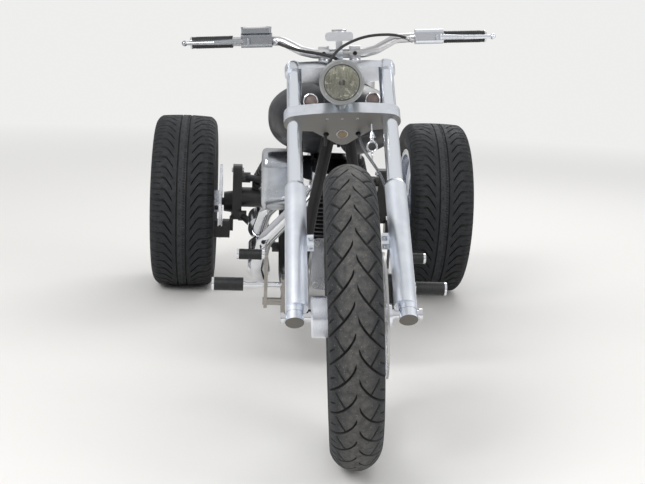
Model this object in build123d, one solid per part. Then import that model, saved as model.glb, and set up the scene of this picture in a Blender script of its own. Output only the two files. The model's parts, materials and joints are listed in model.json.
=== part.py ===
from build123d import *
import os
from math import cos, radians, sin, tan

# A motorized trike: one steered front wheel in a raked wide fork, an open V-twin in a tube cradle,
# and a rear axle beam with two car tyres.
# Millimetres. +X is the rider's left, -Y is forwards, +Z is up. The origin is on the ground, half way
# between the front of the front tyre and the back of the rear tyres.

os.makedirs("parts", exist_ok=True)

# Driving dimensions: wheels
WHEELBASE = 1902
TRACK = 970
FRONT_R = 349.5
FRONT_W = 116
FRONT_SEAT_R = 266.7
REAR_R = 334
REAR_W = 236
REAR_SEAT_R = 216
FRONT_RIM_W = 78
FRONT_FLANGE = 9
REAR_RIM_W = 196
REAR_FLANGE = 13

# Driving dimensions: fork and steering
RAKE = 48.6
FORK_SPACING = 252
TREE_OFFSET = 42
PARK_STEER = -4.7
TUBE_R = 20.5
SLIDER_R = 27
SLIDER_FOOT = -15
SLIDER_TOP = 401
LOWER_TREE = 639
LOWER_TREE_T = 38
UPPER_TREE = 820
UPPER_TREE_T = 27
FORK_TOP = 842
STEM_R = 12.7

# Places of the two axles
FRONT_Y = -(WHEELBASE + REAR_R - FRONT_R) / 2
REAR_Y = FRONT_Y + WHEELBASE
CROWN_R = 60
PARK_LEAN = radians(abs(PARK_STEER)) * sin(radians(RAKE))
FRONT_Z = FRONT_R - (FRONT_R - CROWN_R) * (1 - cos(PARK_LEAN)) + 0.1
WHEEL_X = TRACK / 2

SIN_R = sin(radians(RAKE))
COS_R = cos(radians(RAKE))
# Fork coordinates: x across, y square to the legs and backwards, z up along the legs, zero at the axle
FORK = Plane(origin=(0, FRONT_Y, FRONT_Z), x_dir=(1, 0, 0), z_dir=(0, SIN_R, COS_R))
STEER_AXIS = Axis((0, FRONT_Y + TREE_OFFSET * COS_R, FRONT_Z - TREE_OFFSET * SIN_R), (0, SIN_R, COS_R))

# Engine and frame
CRANK_Y = -60
CRANK_Z = 285
V_HALF_ANGLE = 22.5
FRAME_R = 16
RAIL_X = 112
RAIL_Z = 150
NECK_R = 29
SIDES = (("left", 1), ("right", -1))

nodes = {}


def steered(shape):
    """Turn a straight-ahead shape to the angle at which the steering is parked."""
    return shape.rotate(STEER_AXIS, PARK_STEER)


def on_fork(shape):
    """Place a shape made in fork coordinates, and park it."""
    return steered(FORK.location * shape)


def rod(start, end, radius, end_radius=None):
    """A round bar, or a cone when the end has its own radius."""
    start, end = Vector(*start), Vector(*end)
    plane = Plane(origin=start, z_dir=end - start)
    length = (end - start).length
    low = (Align.CENTER, Align.CENTER, Align.MIN)
    if end_radius is None:
        return plane.location * Cylinder(radius, length, align=low)
    return plane.location * Cone(radius, end_radius, length, align=low)


def bent_tube(points, radius, bends, wall=0):
    """A round tube along straight runs joined by arcs, open inside when it has a wall."""
    bends = bends if isinstance(bends, (list, tuple)) else [bends] * (len(points) - 2)
    path = FilletPolyline(*points, radius=list(bends)) if len(points) > 2 else Line(*points)
    end = Plane(origin=path @ 0, z_dir=path % 0)
    face = end * Circle(radius)
    if wall:
        face -= end * Circle(radius - wall)
    return sweep(face, path=path)


def cord_bends(points, share=0.45):
    """The largest even arc for each corner of a cord's route."""
    bends = []
    for before, corner, after in zip(points, points[1:], points[2:]):
        run_in = Vector(*corner) - Vector(*before)
        run_out = Vector(*after) - Vector(*corner)
        half_turn = radians(run_in.get_angle(run_out)) / 2
        bends.append(share * min(run_in.length, run_out.length) / tan(half_turn))
    return bends


def turned(edges, centre):
    """Revolve a closed profile, given as edges in (across, radius), about the wheel's own axle."""
    outline = Wire([edge for piece in edges for edge in piece.edges()])
    ring = revolve(make_face(Plane.XZ * outline), Axis.X)
    return Pos(*centre) * ring


def belt_line(first, first_r, second, second_r):
    """The face inside a tight loop round two circles, given in (y, z)."""
    rounds = (Pos(*first) * Circle(first_r)).edges() + (Pos(*second) * Circle(second_r)).edges()
    return make_hull(rounds)


def mirror_x(shape):
    return mirror(shape, Plane.YZ)


# Wheels and tyres
def front_tyre():
    half = FRONT_W / 2
    widest = FRONT_R - 44
    bead = FRONT_RIM_W / 2
    lip = FRONT_SEAT_R + FRONT_FLANGE
    crown = ThreePointArc((-half, widest), (0, FRONT_R), (half, widest))
    right_wall = ThreePointArc((half, widest), (half - 5, widest - 17), (bead, lip))
    seat = Polyline((bead, lip), (bead, FRONT_SEAT_R), (-bead, FRONT_SEAT_R), (-bead, lip))
    left_wall = ThreePointArc((-bead, lip), (-half + 5, widest - 17), (-half, widest))
    return steered(turned([crown, right_wall, seat, left_wall], (0, FRONT_Y, FRONT_Z)))


def rear_tyre(side):
    half = REAR_W / 2
    tread = 92
    shoulder = REAR_R - 44
    bead = REAR_RIM_W / 2
    lip = REAR_SEAT_R + REAR_FLANGE
    crown = ThreePointArc((-tread, REAR_R - 4), (0, REAR_R), (tread, REAR_R - 4))
    right_shoulder = ThreePointArc((tread, REAR_R - 4), (half - 8, REAR_R - 19), (half - 1, shoulder))
    right_wall = ThreePointArc((half - 1, shoulder), (half - 3, shoulder - 34), (bead, lip))
    seat = Polyline((bead, lip), (bead, REAR_SEAT_R), (-bead, REAR_SEAT_R), (-bead, lip))
    left_wall = ThreePointArc((-bead, lip), (-half + 3, shoulder - 34), (-half + 1, shoulder))
    left_shoulder = ThreePointArc((-half + 1, shoulder), (-half + 8, REAR_R - 19), (-tread, REAR_R - 4))
    edges = [crown, right_shoulder, right_wall, seat, left_wall, left_shoulder]
    return turned(edges, (side * WHEEL_X, REAR_Y, REAR_R))


def rim_ring(seat_r, width, flange, centre):
    """A rim: two flanges with hooked lips, two bead seats and a drop centre."""
    half = width / 2
    well = seat_r - 22
    profile = [
        (-half - 7, seat_r + flange), (-half, seat_r + flange), (-half, seat_r), (-half + 22, seat_r),
        (-half + 34, well), (half - 34, well), (half - 22, seat_r), (half, seat_r),
        (half, seat_r + flange), (half + 7, seat_r + flange), (half + 7, seat_r - 8),
        (half - 24, seat_r - 9), (half - 36, well - 8), (-half + 36, well - 8),
        (-half + 24, seat_r - 9), (-half - 7, seat_r - 8),
    ]
    return turned([Polyline(*profile, close=True)], centre)


SPOKES = 5


def spoke_set(hub_r, tip_r, root_w, tip_w, depth, across):
    """Tapered spokes round the axle, each a flat bar that narrows towards the rim."""
    blade = make_face(Polyline((-root_w / 2, hub_r - 8), (root_w / 2, hub_r - 8),
                               (tip_w / 2, tip_r), (-tip_w / 2, tip_r), close=True))
    blade = extrude(Plane.YZ * blade, amount=depth / 2, both=True)
    blades = [Pos(across, 0, 0) * Rot(360 * k / SPOKES, 0, 0) * blade for k in range(SPOKES)]
    return blades


FRONT_HUB_R = 48
FRONT_HUB_HALF = 93
ROTOR_R = 146
ROTOR_X = 76


def front_wheel():
    rim = rim_ring(FRONT_SEAT_R, FRONT_RIM_W, FRONT_FLANGE, (0, 0, 0))
    hub = turned([Polyline((-FRONT_HUB_HALF, 11), (-FRONT_HUB_HALF, FRONT_HUB_R - 4),
                           (-FRONT_HUB_HALF + 4, FRONT_HUB_R), (-30, FRONT_HUB_R), (-26, 56), (26, 56),
                           (30, 44), (70, 44), (70, 60), (ROTOR_X - 3.2, 60), (ROTOR_X - 3.2, 30),
                           (FRONT_HUB_HALF, 26), (FRONT_HUB_HALF, 11), close=True)], (0, 0, 0))
    wheel = rim + hub
    for blade in spoke_set(56, FRONT_SEAT_R - 26, 62, 34, 34, 0):
        wheel += blade
    return steered(Pos(0, FRONT_Y, FRONT_Z) * wheel)


def rotor_disc(outer, inner, hub_r, thickness, arms):
    """A brake rotor: a ring carried by arms on a flange, centred on the origin, facing along X."""
    ring = Cylinder(outer, thickness) - Cylinder(inner, thickness)
    centre = Cylinder(hub_r + 14, thickness)
    for k in range(arms):
        centre += Rot(0, 0, 360 * k / arms) * Pos((inner + hub_r) / 2 + 4, 0, 0) * Box(inner - hub_r, 20, thickness)
    disc = ring + centre - Cylinder(hub_r, thickness)
    slots = PolarLocations((outer + inner) / 2, 12)
    disc -= [loc * Cylinder(4.5, thickness) for loc in slots]
    return Rot(0, 90, 0) * disc


def front_rotor():
    disc = rotor_disc(ROTOR_R, 112, 30.2, 5, 5)
    return steered(Pos(ROTOR_X, FRONT_Y, FRONT_Z) * disc)


REAR_ROTOR_X = 348
REAR_ROTOR_R = 146
REAR_HUB_R = 44


def rear_wheel(side):
    rim = rim_ring(REAR_SEAT_R, REAR_RIM_W, REAR_FLANGE, (0, 0, 0))
    face_x = 62
    inner_x = REAR_ROTOR_X - 5 - WHEEL_X
    hub = turned([Polyline((inner_x, 16), (inner_x, REAR_HUB_R), (-60, REAR_HUB_R), (-40, 62), (face_x + 20, 62),
                           (face_x + 34, 34), (face_x + 34, 0), (-80, 0), (-80, 16), close=True)], (0, 0, 0))
    wheel = rim + hub
    for blade in spoke_set(62, REAR_SEAT_R - 26, 74, 50, 26, face_x):
        wheel += blade
    wheel = wheel if side > 0 else mirror_x(wheel)
    return Pos(side * WHEEL_X, REAR_Y, REAR_R) * wheel


def rear_rotor(side):
    disc = rotor_disc(REAR_ROTOR_R, 104, REAR_HUB_R, 10, 5)
    return Pos(side * REAR_ROTOR_X, REAR_Y, REAR_R) * disc


# Fork, in fork coordinates
FOOT_R = 21.8
FOOT_OUT = 4.8
LUG_Z = 224
LUG_IN = 36.5
LUG_HOLE_R = 4.2


def fork_leg(side):
    x = side * FORK_SPACING / 2
    low = (Align.CENTER, Align.CENTER, Align.MIN)
    tube = Pos(x, 0, SLIDER_TOP - 40) * Cylinder(TUBE_R, FORK_TOP - 8 - SLIDER_TOP + 40, align=low)
    slider = Pos(x, 0, 24) * Cylinder(SLIDER_R, SLIDER_TOP - 34, align=low)
    shoulder = Pos(x, 0, SLIDER_TOP - 10) * Cone(SLIDER_R, TUBE_R + 3, 10, align=low)
    foot_x = x + side * FOOT_OUT
    foot = Pos(foot_x, 0, SLIDER_FOOT) * Cylinder(FOOT_R, 44, align=low)
    groove = Pos(foot_x, 0, 7) * (Cylinder(FOOT_R + 3, 2, align=low) - Cylinder(FOOT_R - 2, 2, align=low))
    leg = tube + slider + shoulder + foot - groove
    # The inward fender lug: two square cheeks with one hole through both
    lug = Pos(x - side * 33, 8, LUG_Z) * Box(20, 22, 34)
    lug -= Pos(x - side * 38, 8, LUG_Z) * Box(16, 24, 16)
    lug -= Pos(x - side * LUG_IN, 8, LUG_Z) * Cylinder(LUG_HOLE_R, 40)
    leg += lug
    # The round cap on the tube's top
    leg += Pos(x, 0, FORK_TOP - 8) * Cylinder(TUBE_R + 3.5, 5, align=low)
    leg += Pos(x, 0, FORK_TOP - 3) * Cone(TUBE_R + 3.5, TUBE_R - 2, 5, align=low)
    axle_bore = Rot(0, 90, 0) * Cylinder(10.2, 400)
    leg -= axle_bore
    return on_fork(leg)


def front_axle():
    bar = Rot(0, 90, 0) * Cylinder(10, FORK_SPACING + 2 * SLIDER_R + 8)
    for side in (1, -1):
        bar += Pos(side * (FORK_SPACING / 2 + SLIDER_R + 6), 0, 0) * Rot(0, 90, 0) * Cylinder(14, 8)
        gap_mid = (FORK_SPACING / 2 - SLIDER_R + FRONT_HUB_HALF) / 2 + 0.4
        bar += Pos(side * gap_mid, 0, 0) * Rot(0, 90, 0) * Cylinder(14, FORK_SPACING / 2 - SLIDER_R - FRONT_HUB_HALF - 1)
    return on_fork(bar)


def tree_plate(thickness, front, rear, clamp_r, boss_r, bulge):
    """A fork tree: two split clamps, an arched front edge and a rear that tapers to the stem's boss."""
    half = FORK_SPACING / 2
    outline = [
        ThreePointArc((-half, -front), (0, -front - bulge), (half, -front)),
        Line((half, -front), (half, 26)),
        Line((half, 26), (78, 30)),
        Line((78, 30), (22, rear)),
        ThreePointArc((22, rear), (0, rear + 10), (-22, rear)),
        Line((-22, rear), (-78, 30)),
        Line((-78, 30), (-half, 26)),
        Line((-half, 26), (-half, -front)),
    ]
    plate = extrude(make_face(Wire(outline)), amount=thickness / 2, both=True)
    for side in (1, -1):
        plate += Pos(side * half, 0, 0) * Cylinder(clamp_r, thickness)
    plate += Pos(0, TREE_OFFSET, 0) * Cylinder(boss_r, thickness)
    for side in (1, -1):
        plate -= Pos(side * half, 0, 0) * Cylinder(TUBE_R, thickness)
        plate -= Pos(side * 43, TREE_OFFSET, 0) * Cylinder(8, thickness)
    plate -= Pos(0, TREE_OFFSET, 0) * Cylinder(STEM_R, thickness)
    return plate


def lower_tree():
    plate = tree_plate(LOWER_TREE_T, 30, 74, 29, 32, 8)
    for hole_x in (-40, 0, 40):
        plate -= Pos(hole_x, -14, -LOWER_TREE_T / 2) * Cylinder(4.5, 20)
    return on_fork(Pos(0, 0, LOWER_TREE) * plate)


def upper_tree():
    plate = tree_plate(UPPER_TREE_T, 22, 74, 26, 30, 4)
    return on_fork(Pos(0, 0, UPPER_TREE) * plate)


def steering_stem():
    low = (Align.CENTER, Align.CENTER, Align.MIN)
    bottom = LOWER_TREE - LOWER_TREE_T / 2
    top = UPPER_TREE + UPPER_TREE_T / 2
    stem = Pos(0, TREE_OFFSET, bottom) * Cylinder(STEM_R, top + 12 - bottom, align=low)
    stem += Pos(0, TREE_OFFSET, top) * extrude(RegularPolygon(19, 6), amount=14)
    return on_fork(stem)


LAMP_Y = 436 + FRONT_Y
LAMP_Z = 866
LAMP_R = 59


def headlamp():
    """A bucket with a wide machined ring and a domed lens, on a neck to the lower tree."""
    axis = Plane(origin=(0, LAMP_Y, LAMP_Z), x_dir=(1, 0, 0), z_dir=(0, -1, 0))
    profile = [(0, -92), (24, -88), (42, -70), (51, -40), (53, -12), (LAMP_R, -12), (LAMP_R, 4),
               (LAMP_R - 4, 8), (47, 8), (45, 3), (0, 3)]
    bucket = revolve(make_face(Plane.XZ * Polyline(*profile, close=True)), Axis.Z)
    return steered(axis.location * bucket)


def lamp_bracket():
    """The cast neck under the lamp, widening to a foot that is bolted on the lower tree."""
    foot_low = LOWER_TREE + LOWER_TREE_T / 2
    foot = FORK.location * (Pos(0, -22, foot_low + 4) * Box(52, 26, 8))
    neck_top = (0, LAMP_Y + 14, LAMP_Z - 50)
    foot_spot = FORK.location * Pos(0, -22, foot_low + 6)
    neck = rod(neck_top, tuple(foot_spot.position), 9, 13)
    bracket = foot + neck
    bucket_zone = Pos(0, LAMP_Y, LAMP_Z) * Rot(90, 0, 0) * Cylinder(53.3, 200)
    bracket -= bucket_zone
    return steered(bracket)


INDICATOR_R = 20
INDICATOR_X = 82


def indicators():
    """Two round front lamps on short stalks on the lower tree."""
    top = LOWER_TREE + LOWER_TREE_T / 2
    lamps = []
    for side in (1, -1):
        spot = FORK.location * Pos(side * INDICATOR_X, -14, top)
        centre = (side * INDICATOR_X, spot.position.Y + 4, spot.position.Z + 23)
        axis = Plane(origin=centre, x_dir=(1, 0, 0), z_dir=(0, -1, 0))
        profile = [(0, -34), (12, -32), (18, -22), (INDICATOR_R, -8), (INDICATOR_R, 14), (17, 14), (16, 8), (0, 8)]
        body = axis.location * revolve(make_face(Plane.XZ * Polyline(*profile, close=True)), Axis.Z)
        stalk = FORK.location * (Pos(side * INDICATOR_X, -6, top + 8) * Cylinder(7, 16))
        lamps.append(steered(body + stalk))
    return Compound(children=lamps)


# Handlebar and what it carries, straight ahead in the vehicle's frame
BAR_R = 12.7
BAR_POINTS = [
    (-412, 700 + FRONT_Y, 976), (-205, 688 + FRONT_Y, 977), (-158, 672 + FRONT_Y, 975), (-104, 650 + FRONT_Y, 947),
    (-68, 640 + FRONT_Y, 938), (68, 640 + FRONT_Y, 938), (104, 650 + FRONT_Y, 947), (158, 672 + FRONT_Y, 975),
    (205, 688 + FRONT_Y, 977), (412, 700 + FRONT_Y, 976),
]
RISER_X = 43


def handlebar():
    bends = [50, 50, 40, 40, 40, 40, 50, 50]
    return steered(bent_tube(BAR_POINTS, BAR_R, bends))


def risers():
    """Two posts from the upper tree, each with a clamp round the bar and a blind bolt in front."""
    posts = []
    for side in (1, -1):
        x = side * RISER_X
        clamp = Pos(x, 640 + FRONT_Y, 938) * Rot(0, 90, 0) * Cylinder(21, 30)
        foot_spot = FORK.location * Pos(x, 12, UPPER_TREE + UPPER_TREE_T / 2)
        post = rod(tuple(foot_spot.position), (x, 640 + FRONT_Y, 938), 15)
        bolt = Pos(x, 640 + FRONT_Y - 21, 938) * Rot(90, 0, 0) * Cylinder(6, 10)
        bore = Pos(x, 640 + FRONT_Y, 938) * Rot(0, 90, 0) * Cylinder(BAR_R, 60)
        posts.append(steered(clamp + post - bolt - bore))
    return Compound(children=posts)


def bar_point(x):
    """A point on the handlebar's outer run, at a given distance from the middle."""
    (x0, y0, z0), (x1, y1, z1) = BAR_POINTS[-2], BAR_POINTS[-1]
    share = (abs(x) - x0) / (x1 - x0)
    return (x, y0 + share * (y1 - y0), z0 + share * (z1 - z0))


def grips():
    """A ribbed rubber grip on each end, with a round end cap."""
    pair = []
    for side in (1, -1):
        inner, outer = bar_point(side * 297), bar_point(side * 417)
        grip = rod(inner, outer, 17)
        grip -= rod(inner, bar_point(side * 412), BAR_R)
        pair.append(steered(grip))
    return Compound(children=pair)


def perch(side):
    """A squared clamp block on the bar, with a lever that tapers to a ball."""
    x0, x1 = (186, 272) if side < 0 else (214, 292)
    low, high = bar_point(side * x0), bar_point(side * x1)
    mid = tuple((a + b) / 2 for a, b in zip(low, high))
    block = Pos(mid[0], mid[1] - 8, mid[2] + 2) * Box(x1 - x0, 44, 40)
    block = fillet(block.edges().filter_by(Axis.X), 9)
    if side < 0:
        reservoir = Pos(mid[0], mid[1] - 14, mid[2] + 30) * Box(x1 - x0 - 4, 44, 18)
        block += fillet(reservoir.edges().filter_by(Axis.Z), 6)
    block -= rod(bar_point(side * (x0 - 20)), bar_point(side * (x1 + 20)), BAR_R)
    root = (side * x1 - side * 12, mid[1] - 34, mid[2])
    middle = (side * 345, mid[1] - 42, mid[2] - 2)
    tip = (side * 428, mid[1] - 34, mid[2] - 2)
    lever = rod(root, middle, 8, 6) + rod(middle, tip, 6, 5) + Pos(*tip) * Sphere(8)
    lever += Pos(*middle) * Sphere(6.2)
    knuckle = Pos(side * x1 - side * 14, mid[1] - 32, mid[2]) * Cylinder(12, 18)
    return steered(block + knuckle + lever)


def gauge():
    """A polished rounded block with a dial, on a short stem above the bar's middle."""
    face = Pos(0, 605 + FRONT_Y, 984) * Rot(90, 0, 0) * RectangleRounded(76, 24, 9)
    case = extrude(face, -46)
    case += Pos(0, 628 + FRONT_Y, 998) * Cylinder(20, 8)
    stem = Pos(0, 636 + FRONT_Y, 955) * Box(18, 22, 40)
    stem += Pos(0, 640 + FRONT_Y, 938) * Rot(0, 90, 0) * Cylinder(18, 18)
    return steered(case + stem)


def front_caliper():
    """A two-piston caliper behind the rider's left slider, straddling the rotor's rim."""
    body = Pos(ROTOR_X + 3, 60, 108) * Box(52, 44, 92)
    body = fillet(body.edges().filter_by(Axis.X), 12)
    slot = Pos(ROTOR_X, 0, 0) * Rot(0, 90, 0) * Cylinder(ROTOR_R + 6, 17)
    pistons = Pos(ROTOR_X + 26, 62, 108) * Rot(0, 90, 0) * Cylinder(20, 8)
    arm = Pos(FORK_SPACING / 2 - 14, 44, 108) * Box(14, 52, 40)
    return on_fork(body + pistons + arm - slot)


# Both run in fork coordinates, through the notches of the lower tree beside the neck
BRAKE_HOSE = [
    (-176, -34, 906), (-166, -46, 884), (-142, -50, 866), (-108, -46, 854), (-70, -42, 848), (-36, -42, 838),
    (-8, -48, 816), (16, -46, 786), (34, -26, 756), (42, 8, 730), (43, 36, 700), (43, 42, 660),
    (44, 46, 610), (56, 52, 566), (78, 56, 524), (98, 58, 480), (108, 60, 430), (110, 62, 380),
    (110, 62, 320), (106, 60, 260), (98, 58, 205), (92, 58, 150),
]
CLUTCH_CABLE = [
    (206, -30, 902), (180, -42, 906), (150, -54, 902), (118, -62, 894), (86, -68, 884), (56, -70, 872),
    (28, -70, 856), (2, -68, 838), (-20, -62, 812), (-36, -46, 786), (-43, -18, 764), (-44, 14, 740),
    (-43, 36, 706), (-43, 42, 664), (-44, 46, 622), (-46, 50, 586),
]
HOSE_R = 4


def fork_cord(points):
    return on_fork(bent_tube(points, HOSE_R, cord_bends(points)))


def key_clip():
    """A cone, snap hook and split ring that hang from a rod under the lower tree."""
    top = FORK.location * Pos(78, 10, LOWER_TREE - LOWER_TREE_T / 2)
    x, y, z = tuple(top.position)
    drop = rod((x, y, z + 3), (x, y, z - 34), 2.5)
    cone = rod((x, y, z - 34), (x, y, z - 18), 10, 4)
    hook = Pos(x, y, z - 58) * Rot(90, 0, 0) * (Torus(13, 2.6))
    ring = Pos(x, y, z - 84) * Rot(0, 90, 0) * Torus(13, 2.2)
    return steered(drop + cone + Pos(x, y, z - 40) * Sphere(6) + hook + ring)


# Frame
NECK_LOW = LOWER_TREE + LOWER_TREE_T / 2 + 7
NECK_HIGH = UPPER_TREE - UPPER_TREE_T / 2 - 7


def frame_neck():
    """The neck tube with its two bearing cups."""
    low = (Align.CENTER, Align.CENTER, Align.MIN)
    neck = Pos(0, TREE_OFFSET, NECK_LOW) * Cylinder(NECK_R - 3, NECK_HIGH - NECK_LOW, align=low)
    for start in (NECK_LOW, NECK_HIGH - 18):
        neck += Pos(0, TREE_OFFSET, start) * Cylinder(NECK_R, 18, align=low)
    neck -= Pos(0, TREE_OFFSET, NECK_LOW) * Cylinder(STEM_R + 1, NECK_HIGH - NECK_LOW, align=low)
    return FORK.location * neck


def neck_bore():
    low = (Align.CENTER, Align.CENTER, Align.MIN)
    return FORK.location * (Pos(0, TREE_OFFSET, NECK_LOW - 30) * Cylinder(NECK_R - 3, 260, align=low))


NECK_MID = FORK.location * Pos(0, TREE_OFFSET, (NECK_LOW + NECK_HIGH) / 2)
NECK_Y = NECK_MID.position.Y
NECK_Z = NECK_MID.position.Z


BACKBONE_R = 23
BACKBONE = [(0, NECK_Y, NECK_Z), (0, -60, 735), (0, 200, 622), (0, 366, 572), (0, 366, RAIL_Z + 6)]
BACKBONE_BENDS = [160, 160, 60]


def frame_backbone():
    """One big top tube from the neck to the seat post, with a gusset under its front."""
    tube = bent_tube(BACKBONE, BACKBONE_R, BACKBONE_BENDS)
    gusset = make_face(Polyline((NECK_Y + 14, NECK_Z - 20), (NECK_Y + 190, NECK_Z - 40),
                                (NECK_Y + 20, NECK_Z - 120), close=True))
    gusset = extrude(Plane.YZ * gusset, amount=4, both=True)
    return tube + gusset - neck_bore()


def frame_downtube(side):
    """From the neck down in front of the engine, and back along the cradle's bottom."""
    points = [
        (side * 22, NECK_Y - 2, NECK_Z - 58), (side * 62, -332, 520), (side * RAIL_X, -276, RAIL_Z),
        (side * RAIL_X, 470, RAIL_Z), (side * RAIL_X, 640, 300),
    ]
    return bent_tube(points, FRAME_R, [150, 90, 90]) - neck_bore()


def frame_rear(side):
    """From the seat post down to the rear cross tube."""
    return bent_tube([(side * 14, 352, 578), (side * RAIL_X, 478, 530), (side * RAIL_X, 640, 462),
                      (side * RAIL_X, 640, 300)], FRAME_R, [70, 60])


def frame_crossmembers():
    """Cross tubes that tie the two rails, at the front, under the engine, and at the rear."""
    bars = []
    for y, z in ((-262, 186), (-60, RAIL_Z), (366, RAIL_Z), (590, 483)):
        bars.append(rod((-RAIL_X, y, z), (RAIL_X, y, z), 12))
    return bars


# Engine
CYLINDER_BASE = 132
FIN_COUNT = 9
FIN_PITCH = 13.5
BORE_R = 52
FIN_R = 74


def crankcase():
    """The split case: a round crank chamber, a squared sump and a cam cover on the right."""
    case = Pos(0, CRANK_Y, CRANK_Z) * Rot(0, 90, 0) * Cylinder(118, 112)
    deck = Pos(0, CRANK_Y, CRANK_Z + 70) * Box(112, 196, 76)
    sump = Pos(0, CRANK_Y + 8, CRANK_Z - 75) * Box(112, 210, 92)
    sump = fillet(sump.edges().filter_by(Axis.X), 14)
    case += deck + sump
    for tilt in (-V_HALF_ANGLE, V_HALF_ANGLE):
        spigot = Pos(0, 0, CYLINDER_BASE - 40) * Cylinder(62, 80)
        case += Pos(0, CRANK_Y, CRANK_Z) * Rot(-tilt, 0, 0) * spigot
    cam = Pos(-80, CRANK_Y - 4, CRANK_Z + 6) * Rot(0, 90, 0) * Cylinder(80, 48)
    cam += Pos(-78, CRANK_Y - 70, CRANK_Z - 14) * Rot(0, 90, 0) * Cylinder(38, 44)
    points = Pos(-106, CRANK_Y - 4, CRANK_Z + 10) * Rot(0, 90, 0) * Cylinder(40, 8)
    return case + cam + points


def cylinder(tilt):
    """One finned barrel with its head and rocker box, standing on the case at its tilt."""
    low = (Align.CENTER, Align.CENTER, Align.MIN)
    barrel = Pos(0, 0, CYLINDER_BASE) * Cylinder(BORE_R + 4, FIN_COUNT * FIN_PITCH + 50, align=low)
    for k in range(FIN_COUNT):
        z = CYLINDER_BASE + 14 + k * FIN_PITCH
        fin = Box(2 * FIN_R, 2 * FIN_R, 4.2)
        fin = fillet(fin.edges().filter_by(Axis.Z), 38)
        barrel += Pos(0, 0, z) * fin
    head_base = CYLINDER_BASE + 14 + FIN_COUNT * FIN_PITCH
    for k in range(3):
        fin = fillet(Box(2 * FIN_R + 12, 2 * FIN_R - 4, 5).edges().filter_by(Axis.Z), 24)
        barrel += Pos(0, 0, head_base + 4 + k * 13) * fin
    head = Pos(0, 0, head_base) * Box(122, 116, 40, align=low)
    rocker = Pos(-8, 0, head_base + 38) * Box(166, 116, 34, align=low)
    rocker = fillet(rocker.edges().filter_by(Axis.Z), 22)
    top = Pos(0, 0, head_base + 72) * Box(126, 92, 14, align=low)
    top = fillet(top.edges().filter_by(Axis.Z), 18)
    piece = Pos(0, CRANK_Y, CRANK_Z) * Rot(-tilt, 0, 0) * (barrel + head + rocker + top)
    side = 1 if tilt > 0 else -1
    other_half = Pos(0, CRANK_Y - side * 199, CRANK_Z + 200) * Box(300, 400, 600)
    return piece - other_half


def pushrod_tubes():
    """Four chromed tubes on the right, two to each rocker box."""
    tubes = []
    reach = CYLINDER_BASE + 14 + FIN_COUNT * FIN_PITCH + 38
    for tilt in (-V_HALF_ANGLE, V_HALF_ANGLE):
        for lean in (-24, 24):
            head = Pos(0, CRANK_Y, CRANK_Z) * Rot(-tilt, 0, 0) * Pos(-80, lean, reach)
            foot = (-86, CRANK_Y - 4 + tilt * 1.3 + lean * 0.4, CRANK_Z + 80)
            tubes.append(rod(foot, tuple(head.position), 6.5))
    return tubes


def primary_cover():
    """The long oval cover on the rider's left, over the clutch and the primary drive."""
    front = (CRANK_Y, CRANK_Z)
    rear = (CRANK_Y + 300, CRANK_Z - 4)
    cover = extrude(Plane.YZ * belt_line(front, 88, rear, 98), amount=64)
    cover = Pos(60, 0, 0) * cover
    derby = Pos(128, rear[0], rear[1]) * Rot(0, 90, 0) * Cylinder(66, 10)
    inspect = Pos(127, front[0] + 90, front[1]) * Rot(0, 90, 0) * Cylinder(34, 8)
    return cover + derby + inspect


def gearbox():
    box = Pos(-27, CRANK_Y + 300, CRANK_Z + 2) * Box(114, 190, 170)
    box = fillet(box.edges().filter_by(Axis.X), 26)
    box += Pos(-88, CRANK_Y + 300, CRANK_Z + 10) * Rot(0, 90, 0) * Cylinder(62, 20)
    return box


AIR_X0, AIR_X1 = -206, -92
AIR_Y = CRANK_Y
AIR_Z = 554


def air_cleaner():
    """A deep billet box with broad round corners, outboard of the cylinders."""
    width = AIR_X1 - AIR_X0
    body = Pos((AIR_X0 + AIR_X1) / 2, AIR_Y, AIR_Z) * Box(width, 190, 176)
    body = fillet(body.edges().filter_by(Axis.X), 46)
    outer = body.faces().sort_by(Axis.X)[0]
    body = fillet(outer.edges(), 16)
    return body


def carburettor():
    body = Pos(-52, CRANK_Y, CRANK_Z + 262) * Rot(0, 90, 0) * Cylinder(17, 80)
    body += Pos(-84, CRANK_Y, CRANK_Z + 262) * Rot(0, 90, 0) * Cylinder(30, 16)
    return body


EXHAUST_R = 22


def exhaust(points, bends, muffler_end):
    """A head pipe that sweeps down and back, then a longer straight silencer with a slash end."""
    pipe = bent_tube(points, EXHAUST_R, bends)
    start = points[-1]
    silencer = rod((start[0], start[1] - 30, start[2]), (start[0], start[1] + 10, start[2]), EXHAUST_R, 36)
    silencer += rod((start[0], start[1] + 10, start[2]), (start[0], muffler_end, start[2]), 36)
    return pipe + silencer


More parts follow.
